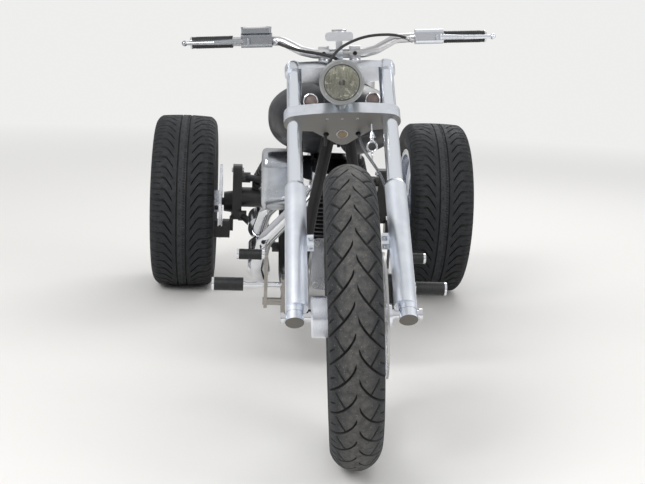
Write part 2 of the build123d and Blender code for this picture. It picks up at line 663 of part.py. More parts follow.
# Tank, seat and other coachwork
def fuel_tank():
    """A wide rounded tank over the backbone: a loft of egg-shaped sections, tunnelled below."""
    # y, half width, low z, high z
    sections = ((-326, 96, 712, 744), (-290, 138, 686, 790), (-226, 168, 660, 836), (-120, 186, 645, 858),
                (20, 172, 640, 842), (160, 118, 640, 792), (228, 74, 646, 756))
    faces = []
    for y, half, low, high in sections:
        mid = (low + high) / 2
        wide = low + 0.52 * (high - low)
        shape = Wire([
            ThreePointArc((-half, wide), (-half * 0.62, high - 0.09 * (high - low)), (0, high)),
            ThreePointArc((0, high), (half * 0.62, high - 0.09 * (high - low)), (half, wide)),
            ThreePointArc((half, wide), (half * 0.66, low + 0.07 * (high - low)), (0, low)),
            ThreePointArc((0, low), (-half * 0.66, low + 0.07 * (high - low)), (-half, wide)),
        ])
        faces.append(Plane(origin=(0, y, 0), x_dir=(1, 0, 0), z_dir=(0, -1, 0)) * make_face(shape))
    tank = loft(faces)
    tunnel = bent_tube(BACKBONE[:4], BACKBONE_R + 5, BACKBONE_BENDS[:2])
    below = [(x, y, z - 46) for x, y, z in BACKBONE[:4]]
    slot = bent_tube(below, BACKBONE_R + 5, BACKBONE_BENDS[:2])
    fork_swing = FORK.location * (Pos(0, 104 - 300, 700) * Box(500, 600, 600))
    return tank - tunnel - slot - fork_swing


def tank_dash():
    """The console along the tank's top, with two filler caps beside it."""
    strip = Pos(0, -90, 858) * Box(64, 210, 18)
    strip = fillet(strip.edges().filter_by(Axis.Z), 24)
    caps = [Pos(side * 92, -80, 845) * Cylinder(31, 26) for side in (1, -1)]
    return Compound(children=[strip, *caps])


SEAT_Z = 640


def seat():
    """A low solo saddle, dished in plan, behind the tank."""
    low = (Align.CENTER, Align.CENTER, Align.MIN)
    pad = Pos(0, 420, SEAT_Z) * Box(300, 300, 60, align=low)
    pad = fillet(pad.edges().filter_by(Axis.Z), 90)
    nose = Pos(0, 292, SEAT_Z) * Box(150, 110, 60, align=low)
    pad += fillet(nose.edges().filter_by(Axis.Z), 40)
    return pad


def saddle_mount():
    """The saddle's pan, its block on the backbone and its two rear posts."""
    pan = Pos(0, 420, SEAT_Z - 4) * Box(270, 270, 8)
    pan = fillet(pan.edges().filter_by(Axis.Z), 80)
    pan += Pos(0, 350, SEAT_Z - 24) * Box(50, 60, 36)
    for side in (1, -1):
        pan += rod((side * RAIL_X, 500, 520), (side * 100, 500, SEAT_Z - 4), 9)
    return pan


def oil_tank():
    """A horseshoe-shaped tank under the saddle, behind the gearbox."""
    tank = Pos(0, 462, 456) * Box(176, 130, 128)
    return fillet(tank.edges().filter_by(Axis.Z), 40)


# Rear axle
BEAM_R = 39
BEAM_Z = REAR_R + 22
BEAM_Y = REAR_Y - 18
CARRIER_X = 284


# The drive cage's two side plates
CAGE_X = (-104, 84)


def rear_beam():
    """Two beam tubes, joined by an open cage that holds the differential drum and the drive pulley."""
    beam = rod((-CARRIER_X, BEAM_Y, BEAM_Z), (CAGE_X[0], BEAM_Y, BEAM_Z), BEAM_R)
    beam += rod((CARRIER_X, BEAM_Y, BEAM_Z), (CAGE_X[1], BEAM_Y, BEAM_Z), BEAM_R)
    for x in CAGE_X:
        plate = Pos(x, REAR_Y, REAR_R) * Box(12, 200, 282)
        beam += fillet(plate.edges().filter_by(Axis.X), 60)
    for y, z in ((0, 128), (0, -128), (86, 60)):
        beam += rod((CAGE_X[0], REAR_Y + y, REAR_R + z), (CAGE_X[1], REAR_Y + y, REAR_R + z), 10)
    beam += rod((CAGE_X[0] - 20, REAR_Y, REAR_R), (CAGE_X[1] + 20, REAR_Y, REAR_R), 17)
    drum = Pos(-36, REAR_Y, REAR_R) * Rot(0, 90, 0) * Cylinder(78, 96)
    return beam + fillet(drum.edges(), 14)


def axle_carrier(side):
    """The upright block at each end of the beam, with the link lugs and the wheel's spindle housing."""
    plate = Pos(side * CARRIER_X, BEAM_Y, 376) * Box(36, 82, 212)
    plate = fillet(plate.edges().filter_by(Axis.X), 12)
    spindle = rod((side * (CARRIER_X + 10), REAR_Y, REAR_R), (side * (REAR_ROTOR_X - 12), REAR_Y, REAR_R), 44, 38)
    return plate + spindle


def axle_shaft(side):
    """The stub of the live axle between carrier and hub."""
    return rod((side * (REAR_ROTOR_X - 12), REAR_Y, REAR_R), (side * (WHEEL_X - 84), REAR_Y, REAR_R), 15)


# Rear eye (across, up), front eye (across, along, up)
LINKS = (((250, 440), (118, 660, 452)), ((262, 290), (136, 580, 226)))


def suspension_links(side):
    """Two trailing links with eyed ends on each side, from the frame's rear to the carrier."""
    links = []
    for (rear_x, rear_z), (front_x, front_y, front_z) in LINKS:
        rear = (side * rear_x, BEAM_Y - 52, rear_z)
        front = (side * front_x, front_y, front_z)
        link = rod(rear, front, 13)
        link += Pos(*rear) * Rot(0, 90, 0) * Cylinder(20, 32)
        link += Pos(*front) * Rot(0, 90, 0) * Cylinder(18, 30)
        links.append(link)
    return links


def rear_caliper(side):
    body = Pos(side * (REAR_ROTOR_X - 6), REAR_Y - 78, REAR_R - 94) * Box(66, 96, 64)
    body = fillet(body.edges().filter_by(Axis.X), 18)
    body -= Pos(side * REAR_ROTOR_X, REAR_Y, REAR_R) * Rot(0, 90, 0) * Cylinder(REAR_ROTOR_R + 3, 18)
    bridge = Pos(side * (CARRIER_X + 20), BEAM_Y - 44, REAR_R - 76) * Box(14, 60, 50)
    return body + bridge


def shock(side):
    """A coil-over damper from the carrier up to the frame's rear rail."""
    low = (side * 214, BEAM_Y - 10, BEAM_Z + 44)
    high = (side * 150, 660, 560)
    low_v, high_v = Vector(*low), Vector(*high)
    axis = (high_v - low_v).normalized()
    length = (high_v - low_v).length
    body = rod(low, high, 11) + rod(low_v + axis * 30, high_v - axis * 42, 20)
    for k in range(9):
        spot = low_v + axis * (34 + k * (length - 80) / 8)
        body += Plane(origin=spot, z_dir=axis).location * Torus(23, 5)
    for end in (low, high):
        body += Pos(*end) * Rot(0, 90, 0) * Cylinder(16, 26)
    return body


BELT_X = 45


def drive_belt():
    """The toothed belt from the gearbox pulley to the axle, one fixed loop with its two pulleys."""
    front = (CRANK_Y + 300, CRANK_Z)
    rear = (REAR_Y, REAR_R)
    outer = belt_line(front, 52, rear, 108)
    inner = belt_line(front, 46, rear, 102)
    belt = extrude(Plane.YZ * (outer - inner), amount=12, both=True)
    belt = Pos(BELT_X, 0, 0) * belt
    small = Pos(BELT_X, *front) * Rot(0, 90, 0) * Cylinder(46, 27)
    large = Pos(BELT_X, *rear) * Rot(0, 90, 0) * Cylinder(102, 27)
    return belt + small + large


# Forward controls
PEG_Y = 700 + FRONT_Y
PEG_Z = 265
PEDAL_Y = 680 + FRONT_Y
PEDAL_Z = 358


def control_bracket(side):
    """The plate on the downtube, the peg's shaft and the pedal's pivot."""
    plate = Pos(side * 136, PEG_Y, 232) * Box(12, 74, 120)
    plate = fillet(plate.edges().filter_by(Axis.X), 14)
    plate += rod((side * 100, -286, 232), (side * 134, PEG_Y - 10, 232), 14)
    shaft = rod((side * 136, PEG_Y, PEG_Z), (side * 252, PEG_Y, PEG_Z), 8.5)
    pivot = rod((side * 136, PEDAL_Y - 6, 222), (side * 196, PEDAL_Y - 6, 222), 11)
    return plate + shaft + pivot


def foot_peg(side):
    """A ribbed rubber sleeve between two chromed collars."""
    peg = rod((side * 252, PEG_Y, PEG_Z), (side * 338, PEG_Y, PEG_Z), 17)
    for k in range(14):
        x = 257 + k * 6
        peg += rod((side * x, PEG_Y, PEG_Z), (side * (x + 3), PEG_Y, PEG_Z), 19)
    peg += rod((side * 338, PEG_Y, PEG_Z), (side * 344, PEG_Y, PEG_Z), 19)
    peg += rod((side * 246, PEG_Y, PEG_Z), (side * 252, PEG_Y, PEG_Z), 12)
    return peg


def pedal(side):
    """The upright arm with the toe piece at its top."""
    arm = Pos(side * 188, PEDAL_Y - 6, 282) * Box(10, 26, 160)
    arm = fillet(arm.edges().filter_by(Axis.X), 12)
    toe = rod((side * 188, PEDAL_Y, PEDAL_Z), (side * 268, PEDAL_Y, PEDAL_Z), 14)
    toe += rod((side * 268, PEDAL_Y, PEDAL_Z), (side * 274, PEDAL_Y, PEDAL_Z), 15)
    return arm + toe


def mount_plate():
    """The polished front engine mount between the downtubes, with a forked lower end."""
    plate = Pos(0, -298, 342) * Box(118, 10, 150)
    plate = fillet(plate.edges().filter_by(Axis.Y), 18)
    plate -= Pos(0, -298, 300) * Box(44, 20, 60)
    plate += Pos(0, -268, 300) * Box(60, 60, 30)
    return plate


def tail_lamp():
    """A round lamp on a short stalk behind the saddle."""
    lamp = rod((0, 616, 590), (0, 660, 590), 30, 34) + rod((0, 660, 590), (0, 670, 590), 34)
    lamp += rod((0, 618, 590), (0, 540, SEAT_Z - 14), 9)
    return lamp


def exhaust_pipes():
    """The two systems on the rider's right: the front one runs low, the rear one above it."""
    lower = exhaust([(-66, -226, 540), (-104, -252, 494), (-194, -216, 392), (-212, -140, 300), (-205, -40, 246),
                     (-205, 60, 246)], [40, 60, 60, 80], 470)
    upper = exhaust([(-66, 118, 536), (-104, 150, 500), (-186, 158, 420), (-205, 220, 352), (-205, 300, 338)],
                    [40, 40, 50], 560)
    return lower, upper


nodes["front_tyre"] = front_tyre()
nodes["front_wheel"] = front_wheel()
nodes["front_rotor"] = front_rotor()
nodes["front_axle"] = front_axle()
nodes["lower_tree"] = lower_tree()
nodes["upper_tree"] = upper_tree()
nodes["steering_stem"] = steering_stem()
nodes["headlamp"] = headlamp() + lamp_bracket()
nodes["front_indicators"] = indicators()
nodes["handlebar"] = handlebar() + risers()
nodes["grips"] = grips()
nodes["brake_master"] = perch(-1)
nodes["clutch_perch"] = perch(1)
nodes["gauge"] = gauge()
nodes["front_caliper"] = front_caliper()
nodes["brake_hose"] = fork_cord(BRAKE_HOSE)
nodes["clutch_cable"] = fork_cord(CLUTCH_CABLE)
nodes["key_clip"] = key_clip()
nodes["frame_backbone"] = frame_neck() + frame_backbone()
nodes["frame_rear"] = frame_rear(1) + frame_rear(-1) + saddle_mount()
nodes["frame_crossmembers"] = Compound(children=frame_crossmembers())
nodes["crankcase"] = crankcase()
nodes["cylinder_front"] = cylinder(-V_HALF_ANGLE)
nodes["cylinder_rear"] = cylinder(V_HALF_ANGLE)
nodes["pushrod_tubes"] = Compound(children=pushrod_tubes())
nodes["primary_cover"] = primary_cover()
nodes["gearbox"] = gearbox()
nodes["air_cleaner"] = air_cleaner() + carburettor()
nodes["fuel_tank"] = fuel_tank()
nodes["tank_dash"] = tank_dash()
nodes["saddle"] = seat()
nodes["oil_tank"] = oil_tank()
nodes["rear_beam"] = rear_beam()
nodes["drive_belt"] = drive_belt()
nodes["mount_plate"] = mount_plate()
nodes["tail_lamp"] = tail_lamp()
nodes["exhaust_front"], nodes["exhaust_rear"] = exhaust_pipes()
for name, side in SIDES:
    nodes[f"fork_leg_{name}"] = fork_leg(side)
    nodes[f"frame_downtube_{name}"] = frame_downtube(side)
    nodes[f"axle_carrier_{name}"] = axle_carrier(side) + axle_shaft(side) + rear_caliper(side)
    nodes[f"rear_tyre_{name}"] = rear_tyre(side)
    nodes[f"rear_wheel_{name}"] = rear_wheel(side) + rear_rotor(side)
    nodes[f"suspension_{name}"] = Compound(children=[*suspension_links(side), shock(side)])
    nodes[f"control_{name}"] = control_bracket(side) + foot_peg(side) + pedal(side)

# Where one piece is seated on or welded round another, its own metal gives way: piece, what it sits on
SEATS = (
    ("frame_downtube_left", "frame_backbone"),
    ("frame_downtube_right", "frame_backbone frame_downtube_left"),
    ("frame_rear", "frame_backbone frame_downtube_left frame_downtube_right"),
    ("frame_crossmembers", "frame_backbone frame_downtube_left frame_downtube_right frame_rear"),
    ("crankcase", "frame_crossmembers frame_downtube_left frame_downtube_right"),
    ("cylinder_front", "crankcase"),
    ("cylinder_rear", "crankcase"),
    ("pushrod_tubes", "crankcase cylinder_front cylinder_rear"),
    ("air_cleaner", "pushrod_tubes cylinder_front cylinder_rear"),
    ("primary_cover", "crankcase frame_downtube_left"),
    ("gearbox", "crankcase primary_cover drive_belt frame_backbone frame_crossmembers"),
    ("fuel_tank", "frame_backbone cylinder_front cylinder_rear"),
    ("tank_dash", "fuel_tank"),
    ("saddle", "fuel_tank frame_rear"),
    ("oil_tank", "frame_backbone frame_rear"),
    ("tail_lamp", "frame_rear"),
    ("mount_plate", "frame_downtube_left frame_downtube_right crankcase frame_crossmembers"),
    ("drive_belt", "rear_beam"),
    ("axle_carrier_left", "rear_beam"),
    ("axle_carrier_right", "rear_beam"),
    ("suspension_left", "axle_carrier_left rear_beam frame_rear frame_downtube_left frame_crossmembers"),
    ("suspension_right", "axle_carrier_right rear_beam frame_rear frame_downtube_right frame_crossmembers"),
    ("control_left", "frame_downtube_left"),
    ("control_right", "frame_downtube_right"),
    ("exhaust_front", "cylinder_front crankcase"),
    ("exhaust_rear", "cylinder_rear crankcase"),
    ("upper_tree", "steering_stem fork_leg_left fork_leg_right"),
    ("lower_tree", "steering_stem fork_leg_left fork_leg_right"),
    ("front_axle", "fork_leg_left fork_leg_right"),
    ("headlamp", "lower_tree"),
    ("front_indicators", "lower_tree"),
    ("key_clip", "lower_tree"),
    ("handlebar", "upper_tree"),
    ("gauge", "handlebar"),
    ("grips", "handlebar"),
    ("brake_master", "handlebar"),
    ("clutch_perch", "handlebar"),
    ("front_caliper", "fork_leg_left"),
    ("brake_hose", "brake_master handlebar lower_tree upper_tree front_caliper"),
    ("clutch_cable", "clutch_perch handlebar lower_tree upper_tree"),
    ("front_wheel", "front_tyre"),
    ("front_rotor", "front_wheel"),
    ("rear_wheel_left", "rear_tyre_left"),
    ("rear_wheel_right", "rear_tyre_right"),
)
for piece, carriers in SEATS:
    for carrier in carriers.split():
        nodes[piece] -= nodes[carrier]

for name, shape in nodes.items():
    export_step(shape, f"parts/{name}.step")
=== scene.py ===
import json
import math

import bpy
import bmesh
import numpy as np
from mathutils import Matrix, Vector


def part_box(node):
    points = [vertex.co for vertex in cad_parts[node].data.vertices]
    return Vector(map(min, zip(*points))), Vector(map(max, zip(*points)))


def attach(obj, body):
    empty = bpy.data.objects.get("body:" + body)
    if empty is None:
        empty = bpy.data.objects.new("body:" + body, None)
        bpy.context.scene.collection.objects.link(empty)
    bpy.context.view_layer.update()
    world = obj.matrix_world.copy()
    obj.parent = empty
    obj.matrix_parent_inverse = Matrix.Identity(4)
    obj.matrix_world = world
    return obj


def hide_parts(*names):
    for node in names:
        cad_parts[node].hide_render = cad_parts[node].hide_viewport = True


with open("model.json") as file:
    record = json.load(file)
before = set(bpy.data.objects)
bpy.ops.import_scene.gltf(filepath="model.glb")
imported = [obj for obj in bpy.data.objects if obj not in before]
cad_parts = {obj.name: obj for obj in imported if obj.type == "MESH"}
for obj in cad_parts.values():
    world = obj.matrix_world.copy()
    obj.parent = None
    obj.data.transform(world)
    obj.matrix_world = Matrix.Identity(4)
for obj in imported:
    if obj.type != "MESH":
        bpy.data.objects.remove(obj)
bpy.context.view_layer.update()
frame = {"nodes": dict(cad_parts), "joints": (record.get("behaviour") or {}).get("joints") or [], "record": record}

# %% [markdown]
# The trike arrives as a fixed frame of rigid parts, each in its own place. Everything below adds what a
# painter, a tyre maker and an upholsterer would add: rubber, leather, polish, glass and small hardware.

MM = 0.001

# %% [markdown]
# The whole front end is parked a few degrees off straight. It is easiest to work out a lamp or a hose with
# the fork straight, and to turn the finished points with it. The steering joint gives the axis to turn about.
# Fork coordinates run across (x), square to the legs and backwards (y), and up along the legs (z), with the
# front axle at zero.

# %% Steering geometry, read from the frame
JOINTS = {joint["name"]: joint for joint in frame["joints"]}
STEER_AXIS = np.array(JOINTS["steering_turn"]["axis"], float)
STEER_POINT = np.array(JOINTS["steering_turn"]["pos_m"], float)
PARKED_AXLE = np.array(JOINTS["front_wheel_spin"]["pos_m"], float)
PARKED_ACROSS = np.array(JOINTS["front_wheel_spin"]["axis"], float)
PARK_ANGLE = math.radians(-4.7)
WHEEL_X, REAR_AXLE_Y, REAR_AXLE_Z = JOINTS["rear_left_spin"]["pos_m"]
SIDES = (1, -1)


def unit(vector):
    """The same direction with length 1."""
    vector = np.asarray(vector, float)
    return vector / np.linalg.norm(vector, axis=-1, keepdims=True)


def turn(points, angle):
    """Rotate points about the steering axis: the part along the axis stays, the rest turns in its plane."""
    rel = np.asarray(points, float) - STEER_POINT
    along = (rel @ STEER_AXIS)[..., None] * STEER_AXIS
    flat = rel - along
    return STEER_POINT + along + flat * math.cos(angle) + np.cross(STEER_AXIS, flat) * math.sin(angle)


def parked(points):
    """Points of the straight-ahead front end, turned to where it is parked."""
    return turn(points, PARK_ANGLE)


AXLE = turn(PARKED_AXLE, -PARK_ANGLE)
FORK_BACK = np.cross(STEER_AXIS, (1.0, 0.0, 0.0))


def from_fork(points):
    """Fork coordinates in millimetres to the trike's frame in metres, fork straight ahead."""
    return AXLE + MM * np.asarray(points, float) @ np.array([(1.0, 0.0, 0.0), FORK_BACK, STEER_AXIS])


def from_axle(points):
    """Millimetres across, behind the front axle and above the ground, to the trike's frame in metres."""
    return np.asarray(points, float) * MM + (0, AXLE[1], 0)


def aim(start, direction):
    """Where a point of the straight front end is parked, and the unit direction that it then faces."""
    place = parked(start)
    return place, unit(parked(np.asarray(start, float) + direction) - place)


print("front axle, straight ahead:", AXLE.round(4), "square to the legs:", FORK_BACK.round(3))

# %% [markdown]
# The camera stands where the photographer stood: nearly head on, a little to the rider's right, at chest
# height, looking slightly down. Its place, angles and focal length were worked out from the wheels' outlines.

# %% Camera
PHOTO_W, PHOTO_H = 645, 484
FOCAL_PX = 1120.84
CENTRE_PX = (323.58, 241.79)
CAMERA_AT = (-0.2576, AXLE[1] - 2.4979, 0.9664)
YAW, PITCH, ROLL = (math.radians(a) for a in (4.19, -10.08, 2.27))
SENSOR_WIDTH = 36

look = Vector((math.sin(YAW) * math.cos(PITCH), math.cos(YAW) * math.cos(PITCH), math.sin(PITCH)))
level = Vector((math.cos(YAW), -math.sin(YAW), 0))
upward = level.cross(look)
right = math.cos(ROLL) * level + math.sin(ROLL) * upward
upward = math.cos(ROLL) * upward - math.sin(ROLL) * level
camera_data = bpy.data.cameras.new("photo_camera")
camera = bpy.data.objects.new("photo_camera", camera_data)
bpy.context.scene.collection.objects.link(camera)
camera.matrix_world = Matrix((right, upward, -look)).transposed().to_4x4()
camera.location = CAMERA_AT
camera_data.sensor_width = SENSOR_WIDTH
camera_data.lens = FOCAL_PX / PHOTO_W * SENSOR_WIDTH
camera_data.shift_x = (PHOTO_W / 2 - CENTRE_PX[0]) / PHOTO_W
camera_data.shift_y = (CENTRE_PX[1] - PHOTO_H / 2) / PHOTO_W
bpy.context.scene.camera = camera
bpy.context.scene.view_settings.view_transform = "Standard"
print("focal length in millimetres:", round(camera_data.lens, 2))

# %% [markdown]
# A material is a small network, a node tree. Some nodes turn a place on the surface into a number or a colour,
# and links carry it on to one shader. Each helper below adds a node or two, in the tree that its input belongs
# to. Places are read in the object's own coordinates, so a pattern stays on its part when the part moves.

# %% Helpers for materials


def new_material(name, colour, rough, metal=0.0):
    """A material with one Principled shader. Returns the material, its node tree and the shader."""
    material = bpy.data.materials.new(name)
    material.use_nodes = True
    shader = material.node_tree.nodes["Principled BSDF"]
    shader.inputs["Base Color"].default_value = (*colour[:3], 1)
    shader.inputs["Roughness"].default_value = rough
    shader.inputs["Metallic"].default_value = metal
    return material, material.node_tree, shader


def plug(value, socket):
    """Give a socket a value: a link where it comes from another node, else a plain number or vector."""
    if isinstance(value, bpy.types.NodeSocket):
        socket.id_data.links.new(value, socket)
    else:
        socket.default_value = value


def plugged(socket):
    """What a socket gets now: the output linked to it, or its own value."""
    return socket.links[0].from_socket if socket.links else socket.default_value


def feed(shader, colour=None, rough=None):
    """Drive the shader's colour and roughness from other nodes."""
    for value, title in ((colour, "Base Color"), (rough, "Roughness")):
        if value is not None:
            shader.id_data.links.new(value, shader.inputs[title])


def object_place(tree, stretch=(1, 1, 1)):
    """Object coordinates, stretched so that a pattern can run one way."""
    mapping = tree.nodes.new("ShaderNodeMapping")
    mapping.inputs["Scale"].default_value = stretch
    plug(tree.nodes.new("ShaderNodeTexCoord").outputs["Object"], mapping.inputs["Vector"])
    return mapping.outputs["Vector"]


def stored(tree, title):
    """A number that the mesh keeps for each of its points."""
    node = tree.nodes.new("ShaderNodeAttribute")
    node.attribute_name = title
    return node.outputs["Fac"]


def grain(tree, size, stretch=(1, 1, 1), detail=4):
    """Noise whose cells are about as large as size, in metres."""
    noise = tree.nodes.new("ShaderNodeTexNoise")
    for title, value in (("Scale", 1 / size), ("Detail", detail), ("Vector", object_place(tree, stretch))):
        plug(value, noise.inputs[title])
    return noise.outputs["Fac"]


def spread(value, low, high, to_low=0, to_high=1):
    """The value between low and high, carried over to another range and held at its ends."""
    node = value.id_data.nodes.new("ShaderNodeMapRange")
    for number, socket in zip((value, low, high, to_low, to_high), node.inputs):
        plug(number, socket)
    return node.outputs["Result"]


def between(amount, first, second):
    """A colour between two colours, or two colour sockets."""
    node = amount.id_data.nodes.new("ShaderNodeMix")
    node.data_type = "RGBA"
    plug(amount, node.inputs["Factor"])
    for title, colour in (("A_Color", first), ("B_Color", second)):
        if not isinstance(colour, bpy.types.NodeSocket):
            colour = (*colour[:3], 1)
        plug(colour, next(s for s in node.inputs if s.identifier == title))
    return next(s for s in node.outputs if s.identifier == "Result_Color")


def sum_up(operation, *values):
    """One arithmetic node; each value is a number or another node's output."""
    tree = next(value.id_data for value in values if isinstance(value, bpy.types.NodeSocket))
    node = tree.nodes.new("ShaderNodeMath")
    node.operation = operation
    for socket, value in zip(node.inputs, values):
        plug(value, socket)
    return node.outputs["Value"]


def vector_of(operation, first, second=None):
    """One vector node: a place, and a constant vector or nothing."""
    node = first.id_data.nodes.new("ShaderNodeVectorMath")
    node.operation = operation
    plug(first, node.inputs[0])
    if second is not None:
        plug(tuple(second), node.inputs[1])
    return node.outputs["Value" if operation in ("DOT_PRODUCT", "LENGTH") else "Vector"]


def dents(shader, height, depth):
    """Give the shader a bump of a depth in metres."""
    bump = shader.id_data.nodes.new("ShaderNodeBump")
    for title, value in (("Distance", depth), ("Strength", 1.0), ("Height", height)):
        plug(value, bump.inputs[title])
    plug(bump.outputs["Normal"], shader.inputs["Normal"])


print("material helpers ready")

# %% [markdown]
# The stage is a pale floor and soft light. Polished metal shows its surroundings, so the world is a plain
# sky: bright overhead, grey near the horizon, and the tone of a floor below it. A big soft lamp from the
# upper left gives the tubes their long highlights, and two weaker ones fill the other side and the back.

# %% Floor, sky and lamps
FLOOR_SIZE = 120
FLOOR_COLOUR = (0.80, 0.79, 0.77)
BACKGROUND = (0.86, 0.86, 0.85, 1)
FADE_FROM, FADE_TO = 2.0, 9.0
GROUND_TONE = (0.42, 0.41, 0.40, 1)
SKY_TONES = ((0.47, 0.52), (0.53, 0.60), (0.72, 0.92))
SKY_STRENGTH = 0.72
LAMP_SIZE = 2.6


def show_camera(tree, end, usual, seen, share=None):
    """Show the camera another shader than the one that lights the scene, in full or by a share."""
    amount = tree.nodes.new("ShaderNodeLightPath").outputs["Is Camera Ray"]
    if share is not None:
        amount = sum_up("MULTIPLY", share, amount)
    mix = tree.nodes.new("ShaderNodeMixShader")
    for value, socket in zip((amount, usual, seen), mix.inputs):
        plug(value, socket)
    plug(mix.outputs[0], tree.nodes[end].inputs["Surface"])


def soft_lamp(name, place, aim_height, power):
    """A square area lamp at a place, facing the trike's middle at a height."""
    data = bpy.data.lights.new(name, "AREA")
    data.size = LAMP_SIZE
    data.energy = power
    lamp = bpy.data.objects.new(name, data)
    bpy.context.scene.collection.objects.link(lamp)
    lamp.location = place
    lamp.rotation_mode = "QUATERNION"
    lamp.rotation_quaternion = (Vector((0, 0, aim_height)) - Vector(place)).to_track_quat("-Z", "Y")


floor_mesh = bpy.data.meshes.new("floor")
h = FLOOR_SIZE / 2
floor_mesh.from_pydata([(-h, -h, 0), (h, -h, 0), (h, h, 0), (-h, h, 0)], [], [(0, 1, 2, 3)])
floor = bpy.data.objects.new("floor", floor_mesh)
bpy.context.scene.collection.objects.link(floor)
paper, paper_tree, paper_shader = new_material("floor_paper", FLOOR_COLOUR, 0.85)
floor_mesh.materials.append(paper)

world = bpy.data.worlds.new("studio")
bpy.context.scene.world = world
world.use_nodes = True
sky = world.node_tree
split = sky.nodes.new("ShaderNodeSeparateXYZ")
plug(sky.nodes.new("ShaderNodeTexCoord").outputs["Generated"], split.inputs[0])
ramp = sky.nodes.new("ShaderNodeValToRGB")
ramp.color_ramp.elements[0].position = 0.0
ramp.color_ramp.elements[0].color = GROUND_TONE
ramp.color_ramp.elements[1].position = 1.0
ramp.color_ramp.elements[1].color = (1.0, 1.0, 1.0, 1)
for spot, grey in SKY_TONES:
    ramp.color_ramp.elements.new(spot).color = (grey, grey, grey * 1.01, 1)
plug(spread(split.outputs["Z"], -1, 1), ramp.inputs["Fac"])
backdrop = sky.nodes["Background"]
plug(ramp.outputs["Color"], backdrop.inputs["Color"])
backdrop.inputs["Strength"].default_value = SKY_STRENGTH
plain = sky.nodes.new("ShaderNodeBackground")
plain.inputs["Color"].default_value = BACKGROUND
show_camera(sky, "World Output", backdrop.outputs[0], plain.outputs[0])

# Far from the trike the camera sees the floor as bright as the background, so no horizon line shows
far = spread(vector_of("LENGTH", object_place(paper_tree)), FADE_FROM, FADE_TO)
glow = paper_tree.nodes.new("ShaderNodeEmission")
glow.inputs["Color"].default_value = BACKGROUND
show_camera(paper_tree, "Material Output", paper_shader.outputs["BSDF"], glow.outputs["Emission"], far)
soft_lamp("key_lamp", (-3.2, -3.6, 4.2), 0.4, 190)
soft_lamp("fill_lamp", (3.6, -2.4, 2.6), 0.4, 55)
soft_lamp("back_lamp", (1.5, 4.0, 3.6), 0.5, 70)
print("stage ready")

# %% [markdown]
# New pieces are made as grids: an array of points with two directions, each of which may close on itself.
# One function turns any such array into a mesh, closes its seams, points its faces outwards and keeps its
# hard edges hard. Everything new on the trike goes through it.

# %% From arrays of points to meshes
SMOOTH_LIMIT = math.radians(34)


def grid_faces(rows, columns, wrap_rows, wrap_columns, start=0):
    """Corner numbers of the quads of a grid, row by row, closing on itself where asked."""
    i = np.arange(rows if wrap_rows else rows - 1)[:, None]
    j = np.arange(columns if wrap_columns else columns - 1)[None, :]
    down, across = (i + 1) % rows, (j + 1) % columns
    corners = (i * columns + j, down * columns + j, down * columns + across, i * columns + across)
    return np.stack([c + 0 * (i + j) for c in corners], -1).reshape(-1, 4) + start


def make_piece(name, grids, material, body, keep_angle=SMOOTH_LIMIT, values=None, caps=True):
    """One object from grids of (points, wrap_rows, wrap_columns); flat ends of tubes are closed by caps."""
    points, faces, start = [], [], 0
    for grid, wrap_rows, wrap_columns in grids:
        rows, columns = grid.shape[:2]
        points.append(grid.reshape(-1, 3))
        faces += grid_faces(rows, columns, wrap_rows, wrap_columns, start).tolist()
        if caps and wrap_columns and not wrap_rows:
            faces += [list(range(start, start + columns)),
                      list(range(start + (rows - 1) * columns, start + rows * columns))]
        start += rows * columns
    mesh = bpy.data.meshes.new(name)
    mesh.from_pydata(np.concatenate(points).tolist(), [], faces)
    for title, numbers in (values or {}).items():
        layer = mesh.attributes.new(title, "FLOAT", "POINT")
        layer.data.foreach_set("value", np.asarray(numbers, np.float32).ravel())
    shell = bmesh.new()
    shell.from_mesh(mesh)
    bmesh.ops.remove_doubles(shell, verts=shell.verts, dist=1e-6)
    bmesh.ops.dissolve_degenerate(shell, edges=shell.edges, dist=1e-7)
    bmesh.ops.recalc_face_normals(shell, faces=shell.faces)
    for face in shell.faces:
        face.smooth = True
    for edge in shell.edges:
        if len(edge.link_faces) == 2 and edge.calc_face_angle(0) > keep_angle:
            edge.smooth = False
    shell.to_mesh(mesh)
    shell.free()
    mesh.materials.append(material)
    piece = bpy.data.objects.new(name, mesh)
    bpy.context.scene.collection.objects.link(piece)
    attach(piece, body)
    return piece


print("corners of a two by two grid's one quad:", grid_faces(2, 2, False, False).tolist())

# %% [markdown]
# Most small parts are turned or bent. A turned part is a profile swept round an axis. A bent one is a round
# section carried along a path, and the path itself is a smooth curve through a few points.

# %% Turned and bent forms


def circle(sides):
    """Angles evenly round a circle."""
    return np.linspace(0, 2 * math.pi, sides, endpoint=False)


def frame_of(direction):
    """Two unit vectors square to a direction, as rows."""
    direction = unit(direction)
    side = np.cross((0, 0, 1), direction)
    if np.linalg.norm(side) < 1e-3:
        side = np.cross((1, 0, 0), direction)
    side = unit(side)
    return np.stack([side, np.cross(direction, side)])


def spokes(axis, sides):
    """Unit vectors evenly round an axis: the cosine times one square vector plus the sine times the other."""
    first, second = frame_of(axis)
    a = circle(sides)[:, None]
    return np.cos(a) * first + np.sin(a) * second


def lathe(profile, centre, axis, sides, closed=False):
    """A turned form: pairs (along, radius) in millimetres, swept round an axis, as a grid for make_piece."""
    along, radius = MM * np.asarray(profile, float).T[:, :, None, None]
    return centre + along * unit(axis) + radius * spokes(axis, sides), closed, True


